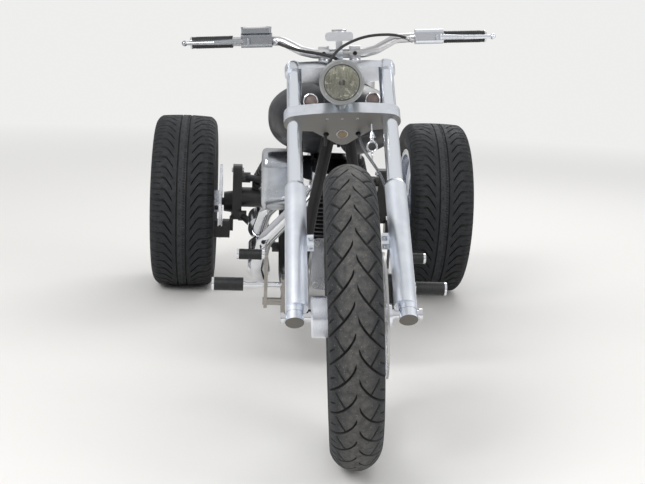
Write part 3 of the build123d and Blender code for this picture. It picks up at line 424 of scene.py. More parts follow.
def tube(path, radius, sides=16):
    """A round section carried along a path; the section's frame is turned as little as possible."""
    ahead = unit(np.gradient(path, axis=0))
    normals = [frame_of(ahead[0])[0]]
    for step in ahead[1:]:
        normals.append(unit(normals[-1] - step * (normals[-1] @ step)))
    normals = np.array(normals)
    a = circle(sides)[:, None]
    ring = np.cos(a) * normals[:, None] + np.sin(a) * np.cross(ahead, normals)[:, None]
    return path[:, None] + np.broadcast_to(radius, (len(path),))[:, None, None] * ring


def run_along(path):
    """The distance of each point of a path from its start."""
    return np.concatenate([[0], np.cumsum(np.linalg.norm(np.diff(path, axis=0), axis=1))])


def through(points, steps=8):
    """A smooth open curve through points: cubic pieces whose slopes come from the neighbours."""
    points = np.asarray(points, float)
    padded = np.concatenate([[2 * points[0] - points[1]], points, [2 * points[-1] - points[-2]]])
    t = np.linspace(0, 1, steps, endpoint=False)[None, :, None]
    b, f, s, n = (x[:, None] for x in (padded[:-3], padded[1:-2], padded[2:-1], padded[3:]))
    curve = 0.5 * (2 * f + (s - b) * t + (2 * b - 5 * f + 4 * s - n) * t ** 2 + (3 * f - b - 3 * s + n) * t ** 3)
    return np.concatenate([curve.reshape(-1, points.shape[-1]), points[-1:]])


print("form tools ready")

# %% [markdown]
# Finishes come next. Every metal on the trike starts as the same shader with other numbers, then gets fine
# marks: a grain that runs one way on machined faces, cloudy patches where polish is uneven, and small dents
# in its shine. Some parts carry two finishes, such as rubber on a steel peg. A mask that asks where a point
# lies picks the finish, so the part needs no cutting up. The masks are planes and tubes through space.

# %% Kinds of finish
DUST = (0.16, 0.15, 0.13)


def metal_finish(name, colour, rough, patch=0.05, scratch=0.0, stretch=(1, 1, 1), dull=0.06):
    """Polished or brushed metal: cloudy patches in its shine, and a grain that runs one way."""
    material, tree, shader = new_material(name, colour, rough, 1.0)
    clouds = grain(tree, patch, detail=3)
    darker = tuple(c * 0.88 for c in colour)
    feed(shader, between(spread(clouds, 0.3, 0.7), darker, colour),
         spread(clouds, 0.3, 0.7, rough + dull, max(rough - dull / 2, 0.03)))
    if scratch:
        dents(shader, grain(tree, 0.002, stretch, 2), scratch)
    return material


def paint_finish(name, colour, rough, coat=0.0, dusty=0.12, texture=0.0, specular=0.5):
    """Paint or plastic with a thin uneven film of dust and, where asked, an orange-peel texture."""
    material, tree, shader = new_material(name, colour, rough)
    shader.inputs["Coat Weight"].default_value = coat
    shader.inputs["Coat Roughness"].default_value = 0.12
    shader.inputs["Specular IOR Level"].default_value = specular
    film = spread(grain(tree, 0.09, detail=6), 0.42, 0.75, 0, dusty)
    feed(shader, between(film, colour, DUST),
         spread(grain(tree, 0.03), 0.3, 0.7, rough - 0.05, rough + 0.08))
    if texture:
        dents(shader, grain(tree, 0.0016, detail=2), texture)
    return material


def beyond(tree, point, direction):
    """1 on the far side of a plane, 0 on the near side."""
    direction = unit(direction)
    along = vector_of("DOT_PRODUCT", object_place(tree), direction)
    return sum_up("GREATER_THAN", along, float(np.asarray(point) @ direction))


def near_line(tree, start, end, radius):
    """1 within a radius of the straight line between two points, 0 elsewhere."""
    start, end = np.asarray(start, float), np.asarray(end, float)
    half = float(np.linalg.norm(end - start)) / 2
    offset = vector_of("SUBTRACT", object_place(tree), start)
    along = vector_of("DOT_PRODUCT", offset, unit(end - start))
    across = vector_of("LENGTH", vector_of("CROSS_PRODUCT", offset, unit(end - start)))
    close = sum_up("LESS_THAN", across, radius)
    return sum_up("MULTIPLY", close, sum_up("COMPARE", along, half, half))


def zoned(material, *zones):
    """Give parts of a finish other numbers. A zone is (mask, colour, roughness, metallic)."""
    shader = material.node_tree.nodes["Principled BSDF"]
    for mask, colour, rough, metal in zones:
        feed(shader, between(mask, plugged(shader.inputs["Base Color"]), colour))
        outside = sum_up("SUBTRACT", 1.0, mask)
        for socket, number in ((shader.inputs["Roughness"], rough), (shader.inputs["Metallic"], metal)):
            kept = sum_up("MULTIPLY", outside, plugged(socket))
            plug(sum_up("MULTIPLY_ADD", mask, number, kept), socket)
    return material


print("finish tools ready")

# %% [markdown]
# The fork legs are one part with three finishes: polished tube above, satin slider below, and a dark foot.
# Planes square to the leg separate them. In the same way a fin gets a machined rim, the lower tree a darker
# underside of painted shade, and each control its chromed shaft and its rubber.

# %% Parts with more than one finish
TUBE_FROM, FOOT_TO = 399, -14.4
TREE_UNDERSIDE = 620.4
CYLINDER_FOOT = np.array((0, -0.060, 0.285))
CYLINDER_TILT = math.radians(22.5)
FIN_HALF, FIN_CORNER = 0.074, 0.038
ROCKER_FROM = 0.3035
PEG_AT, PEG_Z = AXLE[1] + 0.700, 0.265
PEDAL_AT, PEDAL_Z = AXLE[1] + 0.680, 0.358
TAIL_FACE = 0.662


def leg_finish():
    """Satin aluminium below the slider's shoulder, bright hard chrome above it, and a darker brown-grey foot below
    the axle.
    """
    bright = (0.90, 0.94, 1.0)
    material, tree, shader = new_material("fork_leg_finish", bright, 0.3, 1.0)
    along = vector_of("DOT_PRODUCT", object_place(tree), STEER_AXIS)
    edge = float(from_fork((0, 0, TUBE_FROM)) @ STEER_AXIS)
    upper = spread(along, edge - 0.0005, edge + 0.0005)
    satin = between(spread(grain(tree, 0.04, detail=5), 0.35, 0.7), (0.79, 0.83, 0.90), bright)
    feed(shader, between(upper, satin, bright), spread(upper, 0, 1, 0.36, 0.17))
    dents(shader, grain(tree, 0.0022, detail=3), 0.00004)
    foot = beyond(tree, from_fork((0, 0, FOOT_TO)), -STEER_AXIS)
    return zoned(material, (foot, (0.22, 0.21, 0.19), 0.45, 1.0))


def cylinder_finish(name, tilt):
    """Black fins with bright machined rims, under a polished rocker box. A rim is where the distance past the
    straight part of the fins' square is more than the radius of their round corners."""
    material = paint_finish(name, (0.014, 0.014, 0.015), 0.46, texture=0.0001)
    tree = material.node_tree
    up = np.array((0, math.sin(tilt), math.cos(tilt)))
    local = vector_of("SUBTRACT", object_place(tree), CYLINDER_FOOT)
    corner = tree.nodes.new("ShaderNodeCombineXYZ")
    for socket, direction in zip(corner.inputs, ((1, 0, 0), (0, math.cos(tilt), -math.sin(tilt)))):
        away = sum_up("ABSOLUTE", vector_of("DOT_PRODUCT", local, direction))
        past = sum_up("SUBTRACT", away, FIN_HALF - FIN_CORNER)
        plug(sum_up("MAXIMUM", past, 0.0), socket)
    rim = sum_up("GREATER_THAN", vector_of("LENGTH", corner.outputs[0]), FIN_CORNER - 0.001)
    box = beyond(tree, CYLINDER_FOOT + up * ROCKER_FROM, up)
    return zoned(material, (rim, (0.16, 0.16, 0.165), 0.32, 1.0), (box, (0.80, 0.81, 0.83), 0.16, 1.0))


def control_finish(name, side):
    """Bronze-toned arm and plate, chromed shaft and collars, black ribbed rubber on peg and pedal."""
    material = metal_finish(name, (0.40, 0.375, 0.345), 0.3, 0.03, 0.00003)
    chrome = ((0.84, 0.85, 0.88), 0.12, 1.0)
    rubber = ((0.012, 0.012, 0.012), 0.6, 0.0)
    peg, pedal = (PEG_AT, PEG_Z), (PEDAL_AT, PEDAL_Z)
    zones = []
    for (y, z), start, end, radius, finish in (
            (peg, 0.143, 0.360, 0.022, chrome), (peg, 0.2525, 0.3375, 0.022, rubber),
            (pedal, 0.1935, 0.290, 0.018, chrome), (pedal, 0.202, 0.2675, 0.018, rubber)):
        zones.append((near_line(material.node_tree, (side * start, y, z), (side * end, y, z), radius), *finish))
    return zoned(material, *zones)


def cut_finish(material, point, direction, *other):
    """One finish with another beyond a plane."""
    return zoned(material, (beyond(material.node_tree, point, direction), *other))


print("rim of a fin begins, metres from the middle of its corner:", FIN_CORNER - 0.001)

# %% [markdown]
# With these tools each finish is one line: a colour, a roughness, and how uneven it is. Most parts take the
# finish of their material's name; a few have their own.

# %% The metals, paints and rubbers
CHROME = metal_finish("chrome_finish", (0.76, 0.77, 0.80), 0.08, dull=0.03)
POLISHED = metal_finish("polished_aluminium_finish", (0.85, 0.88, 0.94), 0.2, 0.04, 0.00002, (1, 30, 30))
SATIN = metal_finish("satin_aluminium_finish", (0.70, 0.70, 0.71), 0.36, 0.03, 0.00003)
STEEL = metal_finish("bolt_steel", (0.55, 0.55, 0.56), 0.28, 0.01)
BLACK_STEEL = metal_finish("black_bolt_steel", (0.05, 0.05, 0.052), 0.35, 0.01)
ROTOR = metal_finish("rotor_finish", (0.58, 0.57, 0.56), 0.28, 0.05, 0.00003)
CASE = metal_finish("engine_case_finish", (0.52, 0.52, 0.53), 0.36, 0.03, 0.00005)
BRONZE = metal_finish("bronze_finish", (0.33, 0.27, 0.19), 0.46, 0.01)
FRAME_PAINT = paint_finish("frame_gloss_black", (0.007, 0.007, 0.008), 0.4, dusty=0.06, specular=0.28)
AXLE_PAINT = paint_finish("axle_satin_black", (0.012, 0.012, 0.013), 0.42, 0.2)
TANK_PAINT = paint_finish("tank_satin_black", (0.011, 0.012, 0.016), 0.34, dusty=0.03, specular=0.35)
RUBBER = paint_finish("black_rubber", (0.014, 0.014, 0.014), 0.62, dusty=0.18, texture=0.00008)
RIBBED_RUBBER = paint_finish("ribbed_rubber", (0.006, 0.007, 0.008), 0.5, dusty=0.05, texture=0.00005)
LEATHER = paint_finish("seat_leather_finish", (0.016, 0.014, 0.013), 0.5, 0.05, dusty=0.08, texture=0.0002)
OWN_FINISH = {
    "cylinder_front": cylinder_finish("cylinder_front_finish", -CYLINDER_TILT),
    "cylinder_rear": cylinder_finish("cylinder_rear_finish", CYLINDER_TILT),
    "control_left": control_finish("control_left_finish", 1),
    "control_right": control_finish("control_right_finish", -1),
    # The lower tree's underside is darkened to grey-brown: painted shade, and a painted reflection of the ground
    # below it.
    "lower_tree": cut_finish(
        metal_finish("lower_tree_finish", (0.88, 0.92, 0.98), 0.2, 0.04, 0.00002, (1, 30, 30)),
        from_fork((0, 0, TREE_UNDERSIDE)), -STEER_AXIS, (0.25, 0.245, 0.235), 0.42, 1.0),
    "tail_lamp": cut_finish(metal_finish("tail_lamp_finish", (0.80, 0.81, 0.83), 0.12, 0.03),
                            (0, TAIL_FACE, 0), (0, 1, 0), (0.30, 0.01, 0.01), 0.2, 0.0),
    "air_cleaner": metal_finish("air_cleaner_finish", (0.56, 0.585, 0.62), 0.16, 0.06, 0.00002, dull=0.16),
    "gauge": metal_finish("gauge_case_finish", (0.90, 0.92, 0.96), 0.3, 0.02),
    "brake_master": metal_finish("master_cylinder_finish", (0.42, 0.44, 0.47), 0.26, 0.015),
    "headlamp": metal_finish("lamp_ring_finish", (0.40, 0.41, 0.41), 0.36, 0.02, 0.00005),
    "handlebar": metal_finish("handlebar_finish", (0.66, 0.66, 0.67), 0.3, 0.03, dull=0.05),
}
SLOT_FINISH = {
    "tyre": RUBBER, "wheel_aluminium": POLISHED, "rotor_steel": ROTOR, "slider_aluminium": leg_finish(),
    "polished_aluminium": POLISHED, "chrome": CHROME, "frame_black": FRAME_PAINT, "axle_black": AXLE_PAINT,
    "engine_case": CASE, "tank_black": TANK_PAINT, "dash_polished": SATIN, "seat_leather": LEATHER,
    "black_rubber": RUBBER,
}
for entry in frame["record"]["subparts"]:
    node = frame["nodes"][entry["node"]]
    node.data.materials.clear()
    node.data.materials.append(OWN_FINISH.get(entry["node"]) or SLOT_FINISH[entry["material_slot"]])

# %% [markdown]
# A tyre is a ring, so its surface has two directions: round the wheel, and across the section from bead to
# bead. The section is drawn with arcs. The tread is cut by pushing points inwards. The trick for clean
# grooves is to bend the grid itself: every row is shifted round the wheel by the same amount as the groove
# that crosses it, so a curved groove lies between two rows of points and keeps a sharp edge.

# %% Tyre tools


def arc(start, middle, end, count):
    """Points on the circle through three points of a plane, from the first to the last."""
    (ax, ay), (bx, by), (cx, cy) = start, middle, end
    d = 2 * (ax * (by - cy) + bx * (cy - ay) + cx * (ay - by))
    a2, b2, c2 = ax * ax + ay * ay, bx * bx + by * by, cx * cx + cy * cy
    ox = (a2 * (by - cy) + b2 * (cy - ay) + c2 * (ay - by)) / d
    oy = (a2 * (cx - bx) + b2 * (ax - cx) + c2 * (bx - ax)) / d
    angles = np.unwrap([math.atan2(y - oy, x - ox) for x, y in (start, middle, end)])
    t = np.linspace(angles[0], angles[2], count)
    return np.array((ox, oy)) + math.hypot(ax - ox, ay - oy) * np.stack([np.cos(t), np.sin(t)], -1)


def soft_step(value, low, high):
    """0 below low, 1 above high, and a smooth rise between them."""
    t = np.clip((value - low) / (high - low), 0, 1)
    return t * t * (3 - 2 * t)


def groove(distance, floor_half, top_half):
    """1 on a groove's floor, falling to 0 where the rubber begins, by distance from its centre line."""
    return 1 - soft_step(np.abs(distance), floor_half, top_half)


def window(value, rise_from, rise_to, fall_from, fall_to):
    """1 in a range, with soft ends."""
    return soft_step(value, rise_from, rise_to) * (1 - soft_step(value, fall_from, fall_to))


def centred(value, period):
    """How far a value is past the nearest multiple of a period, or before it."""
    return (value + period / 2) % period - period / 2


def line_distance(s, a, start, end):
    """Distance from points (s, a) of the unrolled tread to a straight groove's centre line."""
    d = np.array(end, float) - np.array(start, float)
    t = np.clip(((s - start[0]) * d[0] + (a - start[1]) * d[1]) / (d @ d), 0, 1)
    return np.hypot(s - start[0] - t * d[0], a - start[1] - t * d[1])


def tyre_grid(half_section, seat, across, steps, pitches, pitch, bend, depth, centre, axle):
    """The whole tyre in metres. half_section: arcs from the crown to the bead, in millimetres. seat: where the
    inner ring lies. across: where the columns lie, as arc length from the crown. steps: where the rows lie
    within one pitch. bend(s) shifts rows round the wheel, and depth(s, row, along) says how deep the tread is
    cut at arc length s. Returns the points, the depth of the cut and the drop from the crown."""
    run = run_along(half_section)
    s = np.concatenate([-across[::-1], across[1:]])
    x = np.sign(s) * np.interp(abs(s), run, half_section[:, 0])
    rho = np.interp(abs(s), run, half_section[:, 1])
    normal_x, normal_rho = unit(np.stack([-np.gradient(rho, s), np.gradient(x, s)], -1)).T
    rows = (np.arange(pitches)[:, None] * pitch + np.asarray(steps)[None, :]).ravel()
    along = rows[:, None] + bend(abs(s))[None, :]
    cut = depth(s[None, :], rows[:, None], along)
    angle = along / (pitches * pitch) * 2 * math.pi
    inner_x = np.broadcast_to((seat[0], -seat[0]), (len(rows), 2))
    inner_rho = np.full((len(rows), 2), seat[1])
    x_all = np.concatenate([x - cut * normal_x, inner_x], 1)
    rho_all = np.concatenate([rho - cut * normal_rho, inner_rho], 1)
    angle = np.concatenate([angle, angle[:, -1:], angle[:, :1]], 1)[..., None]
    ahead, up = frame_of(axle)
    ring = np.cos(angle) * up - np.sin(angle) * ahead
    points = np.asarray(centre) + MM * (x_all[..., None] * np.asarray(axle) + rho_all[..., None] * ring)
    return points, np.concatenate([cut, 0 * inner_x], 1), rho.max() - rho_all


def tyre_finish(name, worn, clean, dust, worn_edge):
    """Rubber with a greyed running band, grooves darkened by their depth as painted shade, and stone dust caught
    in both. It reads the depth of the cut and the drop from the crown, which are stored on the points."""
    material, tree, shader = new_material(name, clean, 0.7)
    patches = spread(grain(tree, 0.012, detail=8), 0.3, 0.75, 0.2, 1)
    band = spread(stored(tree, "drop"), *worn_edge, 1, 0)
    tread = between(sum_up("MULTIPLY", patches, band), clean, worn)
    dotted = between(spread(grain(tree, 0.0035, detail=2), 0.64, 0.72, 0, 0.5), tread, dust)
    # Painted shade: the deeper the cut, the nearer the groove's colour comes to black.
    deep = spread(stored(tree, "cut"), 0.4, 1.6)
    feed(shader, between(deep, dotted, (0.006, 0.006, 0.006)),
         spread(grain(tree, 0.02), 0.3, 0.7, 0.62, 0.82))
    dents(shader, grain(tree, 0.0018, detail=6), 0.0004)
    return material


print("tyre tools ready")

# %% [markdown]
# The front tyre has the tread of a touring tyre, worn round. On each side a long groove starts beside the
# centre line, runs steeply at first and then sweeps out to the shoulder. A short branch meets it half way,
# and a sipe lies in the shoulder between two grooves. The two sides are half a pitch apart.

# %% Front tyre
FRONT_PITCHES = 34
FRONT_CROWN_R = 349.5
FRONT_CROWN_ARC = 60.2
FRONT_WIDEST = (58, FRONT_CROWN_R - 44)
FRONT_SEAT = (39, 266.9)
FRONT_PITCH = 2 * math.pi * FRONT_CROWN_R / FRONT_PITCHES
FRONT_GROOVE_REACH = 90
FRONT_TREAD_EDGE = 73
FRONT_DEPTH = 4.6
FRONT_ROWS = 28
# Half widths of a groove, at its floor and at the rubber's face, and the ends of the short ones' centre lines
MAIN_HALF, BRANCH_HALF, SIPE_HALF = (0.9, 2.5), (0.8, 2.3), (0.7, 2.2)
BRANCH_LINE, SIPE_LINE = ((50, 22), (27, 54)), ((54, 50), (69, 58))


def front_bend(s):
    """How far a groove has swept round the wheel at arc length s: steep near the crown, flat at the edge."""
    return FRONT_GROOVE_REACH * (np.clip(s, 0, FRONT_TREAD_EDGE) / FRONT_TREAD_EDGE) ** 0.5


def front_cut(s, row, along):
    """Depth of the tread: the swept groove in grid rows, then the branch and the sipe by distance."""
    side = np.where(s < 0, 0.5, 0.0) * FRONT_PITCH
    reach = abs(s) + 0 * row
    table = np.linspace(0, 90, 400)
    slope = np.interp(reach, table, np.gradient(front_bend(table), table[1]))
    main = groove(centred(row - side, FRONT_PITCH) / np.sqrt(1 + slope ** 2), *MAIN_HALF)
    main = main * window(reach, 2.2, 4.5, 70, 75)
    round_wheel = (along - side) % FRONT_PITCH
    branch, sipe = (np.minimum.reduce([line_distance(reach, round_wheel + k * FRONT_PITCH, *line)
                                       for k in (2, 1, 0, -1)]) for line in (BRANCH_LINE, SIPE_LINE))
    return FRONT_DEPTH * np.maximum.reduce([main, 0.75 * groove(branch, *BRANCH_HALF),
                                            0.7 * groove(sipe, *SIPE_HALF)])


front_half = np.concatenate([
    arc((0, FRONT_CROWN_R), (math.sin(0.7) * FRONT_CROWN_ARC, FRONT_CROWN_R - FRONT_CROWN_ARC * (1 - math.cos(0.7))),
        FRONT_WIDEST, 200),
    arc(FRONT_WIDEST, (53, FRONT_WIDEST[1] - 17), (39, 275.7), 60)[1:],
])
front_across = np.concatenate([np.linspace(0, 77, 36), np.linspace(79, run_along(front_half)[-1], 8)])
front_steps = np.arange(0, FRONT_PITCH - 1.0, FRONT_PITCH / FRONT_ROWS)
front_points, front_cuts, front_drop = tyre_grid(
    front_half, FRONT_SEAT, front_across, front_steps, FRONT_PITCHES, FRONT_PITCH, front_bend, front_cut,
    PARKED_AXLE, PARKED_ACROSS)
FRONT_RUBBER = tyre_finish("front_tyre_rubber", (0.096, 0.093, 0.088), (0.013, 0.015, 0.018), (0.22, 0.20, 0.16),
                           (1.5, 17))
front_tyre = make_piece("front_tyre_tread", [(front_points, True, True)], FRONT_RUBBER, "front_wheel",
                        values={"cut": front_cuts, "drop": front_drop})
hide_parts("front_tyre")
print("front tyre faces:", len(front_tyre.data.polygons))

# %% [markdown]
# The rear tyres are wide road tyres. A centre rib with small slanted sipes lies between two thin channels. On
# each side a plain rib follows, and then grooves that rise at a slant, bend, and run out over the shoulder
# like a gull's wing, with fine sipes between them on the shoulder.

# %% Rear tyres
REAR_PITCHES = 50
REAR_CROWN_R = REAR_AXLE_Z / MM
REAR_HALF = 118
REAR_LIP = (98, 229)
REAR_SEAT = (98, 216.2)
REAR_PITCH = 2 * math.pi * REAR_CROWN_R / REAR_PITCHES
CHANNEL_AT = 17
WING_FROM, WING_KNEE = 33, 68
WING_RISE = 44
REAR_DEPTH = 6.0
CHANNEL_HALF, WING_HALF, FINE_HALF, SHORT_HALF, EDGE_HALF = (1.0, 2.4), (1.7, 3.6), (0.7, 1.9), (0.7, 1.8), (0.8, 2.0)


def rear_bend(s):
    """Grooves rise evenly from their start, turn in a short knee, and run square across the shoulder."""
    t = np.clip((s - WING_FROM) / (WING_KNEE - WING_FROM), -0.5, 1)
    return -WING_RISE * (t - t ** 5 / 5) / 0.8 - 3 * np.clip((s - WING_KNEE) / 50, 0, 1)


def rear_cut(s, row, along):
    """Depth of the tread: two channels, the winged grooves, fine shoulder sipes and the rib's short sipes."""
    from_side = row - np.where(s < 0, 0.5, 0.0) * REAR_PITCH
    reach = abs(s) + 0 * row
    quarter = centred(from_side, REAR_PITCH / 4)
    channel = groove(reach - CHANNEL_AT, *CHANNEL_HALF)
    wing = groove(centred(from_side, REAR_PITCH), *WING_HALF)
    wing = wing * window(reach, WING_FROM - 2, WING_FROM + 4, 116, 121) * (1 - 0.35 * soft_step(reach, 72, 80))
    fine = groove(quarter, *FINE_HALF) * window(reach, 74, 78, 108, 113)
    middle = 0.7 + 0.3 * np.cos(4 * math.pi * from_side / REAR_PITCH)
    short = groove(quarter - 0.35 * s, *SHORT_HALF) * window(reach, 3, 5, 11, 13)
    edge = groove(reach - 126, *EDGE_HALF)
    return REAR_DEPTH * np.maximum.reduce([0.7 * channel, 0.85 * wing, 0.4 * fine * middle, 0.35 * short,
                                           0.25 * edge])


shoulder, wall = (92, REAR_CROWN_R - 4), (REAR_HALF - 1, REAR_CROWN_R - 44)
rear_half = np.concatenate([
    arc((0, REAR_CROWN_R), (46, REAR_CROWN_R - 1.0), shoulder, 120),
    arc(shoulder, (REAR_HALF - 8, REAR_CROWN_R - 19), wall, 60)[1:],
    arc(wall, (REAR_HALF - 3, REAR_CROWN_R - 78), REAR_LIP, 60)[1:],
])
rear_across = np.concatenate([
    (0, 2.5, 4.5, 7, 9.5, 12, 14.2, 15.8, 18.2, 19.8, 23, 27, 30), np.linspace(33, 129, 32),
    np.linspace(133, run_along(rear_half)[-1], 8)])
rear_steps = np.sort(np.concatenate([quarter * REAR_PITCH / 4 + np.array((-1.9, -0.8, 0.8, 1.9))
                                     for quarter in range(4)] + [[3.6, REAR_PITCH - 3.6]])) + 1.9
rear_tyre_rubber = tyre_finish("rear_tyre_rubber", (0.030, 0.033, 0.037), (0.009, 0.011, 0.014),
                               (0.07, 0.068, 0.062), (0.11, 0.16))
for name, side in (("left", 1), ("right", -1)):
    points, cuts, drop = tyre_grid(
        rear_half, REAR_SEAT, rear_across, rear_steps, REAR_PITCHES, REAR_PITCH, rear_bend, rear_cut,
        (side * WHEEL_X, REAR_AXLE_Y, REAR_AXLE_Z), (1.0, 0.0, 0.0))
    tyre = make_piece(f"rear_tyre_{name}_tread", [(points, True, True)], rear_tyre_rubber,
                      f"rear_wheel_{name}", values={"cut": cuts, "drop": drop})
    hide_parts(f"rear_tyre_{name}")
    print("rear tyre faces:", len(tyre.data.polygons))

# %% [markdown]
# A brake hose is a rubber pipe in a woven sleeve of steel wire; a clutch cable is a plain black one. Both hang
# in long curves from the handlebar, so their line is a smooth curve pulled towards a few points, and not a
# chain of straight pieces. The woven look is in the surface itself: two families of strands wind round the
# pipe in opposite directions, and the higher of the two sets the radius at each point.

# %% Hose and cable
BRAKE_HOSE = [
    (-176, -34, 906), (-166, -46, 884), (-142, -50, 866), (-108, -46, 854), (-70, -42, 848), (-36, -42, 838),
    (-8, -48, 816), (16, -46, 786), (34, -26, 756), (42, 8, 730), (43, 36, 700), (43, 42, 660),
    (44, 46, 610), (56, 52, 566), (78, 56, 524), (98, 58, 480), (108, 60, 430), (110, 62, 380),
    (110, 62, 320), (106, 60, 260), (98, 58, 205), (92, 58, 150),
]
CLUTCH_CABLE = [
    (206, -30, 902), (180, -42, 906), (150, -54, 902), (118, -62, 894), (86, -68, 884), (56, -70, 872),
    (28, -70, 856), (2, -68, 838), (-20, -62, 812), (-36, -46, 786), (-43, -18, 764), (-44, 14, 740),
    (-43, 36, 706), (-43, 42, 664), (-44, 46, 622), (-46, 50, 586),
]
CORD_R = 4.0
CORD_SIDES = 24
STRANDS = 8
WEAVE_PITCH = 26.0
WEAVE_STEP = 0.0012


def smooth_line(route):
    """The points of the smooth curve that a route pulls on, as Blender works it out, where it is parked."""
    curve = bpy.data.curves.new("route", "CURVE")
    curve.dimensions = "3D"
    line = curve.splines.new("NURBS")
    line.points.add(len(route) - 1)
    route = parked(from_fork(route))
    line.points.foreach_set("co", np.concatenate([route, np.ones((len(route), 1))], 1).ravel())
    line.order_u = 3
    line.use_endpoint_u = True
    line.resolution_u = 12
    holder = bpy.data.objects.new("route", curve)
    bpy.context.scene.collection.objects.link(holder)
    mesh = bpy.data.meshes.new_from_object(holder)
    points = np.empty(len(mesh.vertices) * 3)
    mesh.vertices.foreach_get("co", points)
    bpy.data.objects.remove(holder)
    bpy.data.meshes.remove(mesh)
    bpy.data.curves.remove(curve)
    return points.reshape(-1, 3)


def evenly(path, step):
    """The same line with its points a fixed step apart, and the distance of each from the start."""
    run = run_along(path)
    at = np.linspace(0, run[-1], max(int(run[-1] / step), 2))
    return np.stack([np.interp(at, run, path[:, k]) for k in range(3)], -1), at


def woven_tube(path, relief):
    """A cord of crossing strands: its height is the higher of cos(n (a + w)) and cos(n (a - w)), where a goes
    round, w grows along the cord by one turn per pitch, and n is half the number of strands."""
    line, at = evenly(path, WEAVE_STEP)
    turns = 2 * math.pi * at[:, None] / (WEAVE_PITCH * MM)
    a = circle(CORD_SIDES)
    height = np.maximum(np.cos(STRANDS / 2 * (a + turns)), np.cos(STRANDS / 2 * (a - turns)))
    radius = MM * (CORD_R - relief * (1 - height[..., None]) / 2)
    centre = line[:, None]
    return centre + (tube(line, 1.0, CORD_SIDES) - centre) * radius, height


def woven_finish(name, strand, gap, rough, metal):
    """Bright strands over dark gaps; the height of the weave is stored on the points."""
    material, tree, shader = new_material(name, strand, rough, metal)
    feed(shader, between(spread(stored(tree, "weave"), 0.35, 0.8), gap, strand),
         spread(grain(tree, 0.004), 0.3, 0.7, rough - 0.04, rough + 0.08))
    return material


HOSE_STEEL = woven_finish("hose_braid_finish", (0.30, 0.31, 0.33), (0.03, 0.03, 0.033), 0.3, 0.9)
CABLE_BLACK = woven_finish("cable_sleeve_finish", (0.016, 0.016, 0.018), (0.010, 0.010, 0.010), 0.42, 0.0)
hose_line, cable_line = smooth_line(BRAKE_HOSE), smooth_line(CLUTCH_CABLE)
for name, node, path, finish, relief in (
        ("brake_hose_braid", "brake_hose", hose_line, HOSE_STEEL, 0.7),
        ("clutch_cable_sleeve", "clutch_cable", cable_line, CABLE_BLACK, 0.25)):
    surface, height = woven_tube(path, relief)
    piece = make_piece(name, [(surface, False, True)], finish, "steering",
                       values={"weave": height}, keep_angle=math.radians(60))
    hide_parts(node)
    length = float(run_along(path)[-1])
    print(name, "length in metres:", round(length, 3))

# %% [markdown]
# Each end of a hose or cable that can be seen has a metal fitting, a stepped sleeve swaged over it. Its thin
# part has small rings pressed into it. The first run of the brake hose lies in a black sleeve that keeps the
# wire off the paint.

# %% Sleeves and end fittings
FERRULE_WIDE, FERRULE_THIN, FERRULE_RING = 6.2, 5.0, 0.5
SLEEVE_R, SLEEVE_STEP, SLEEVE_RUN = 4.5, 3, slice(6, 120)
ferrules = []
for path, length in ((hose_line, 22), (hose_line[::-1], 26), (cable_line, 24)):
    spine = evenly(path, MM)[0][:length]
    t = np.linspace(0, 1, length)
    ringed = (t > 0.55) & (np.abs((t * 10) % 1 - 0.5) < 0.18)
    swell = np.where(t < 0.55, FERRULE_WIDE, FERRULE_THIN) - FERRULE_RING * ringed
    ferrules.append((tube(spine, swell * MM, 20), False, True))
make_piece("cable_ferrules", ferrules, STEEL, "steering")
sleeve = tube(evenly(hose_line, SLEEVE_STEP * MM)[0][SLEEVE_RUN], SLEEVE_R * MM, 20)
make_piece("brake_hose_sleeve", [(sleeve, False, True)], RUBBER, "steering")
print("ferrules:", len(ferrules))

# %% [markdown]
# The headlamp is a bucket behind a wide machined ring. Behind the glass lies a shallow mirror with a shaded
# bulb in its middle, and the glass is moulded with upright flutes that spread the beam. The glass is a real
# shell with two faces, so that light bends twice in it; the flutes are a wave in its inner face's height.

# %% Headlamp
LAMP_AT = from_axle((0, 436, 866))
LAMP_PLACE, LAMP_AXIS = aim(LAMP_AT, (0, -1, 0))
GLASS_R, MIRROR_R, FLUTED_R = 45.6, 44.6, 43
FLUTE_PITCH, FLUTE_DEPTH = 4.0, 1.3
BULB_SHADE = [(3.1, 0), (3.1, 8.4), (4.4, 8.4), (5.4, 6.8), (7.6, 6.2), (8.4, 5.0), (8.7, 0)]
GASKET = [(6.2, 45.2), (8.3, 45.5), (8.5, 46.4), (8.0, 47.4), (6.6, 46.8)]


def glass_face(radii, base, dome, flute=0.0, sides=144):
    """A face of the glass: a parabola's dome over the radius, less a flute that is the cosine of the distance
    across."""
    across = radii[:, None] * np.cos(circle(sides))
    waves = (0.5 - 0.5 * np.cos(2 * math.pi * across / FLUTE_PITCH)) * (radii[:, None] < FLUTED_R)
    along = (base + dome * (1 - (radii / GLASS_R) ** 2))[:, None] - flute * waves
    return LAMP_PLACE + MM * (along[..., None] * LAMP_AXIS + radii[:, None, None] * spokes(LAMP_AXIS, sides))


LAMP_GLASS, glass_tree, glass = new_material("lamp_glass", (0.93, 0.93, 0.89), 0.02)
glass.inputs["Transmission Weight"].default_value = 1.0
glass.inputs["IOR"].default_value = 1.45
feed(glass, rough=spread(grain(glass_tree, 0.012, detail=5), 0.35, 0.7, 0.02, 0.14))
MIRROR = metal_finish("lamp_mirror_finish", (0.46, 0.46, 0.42), 0.12, 0.02, 0.0003)
mirror_tree = MIRROR.node_tree
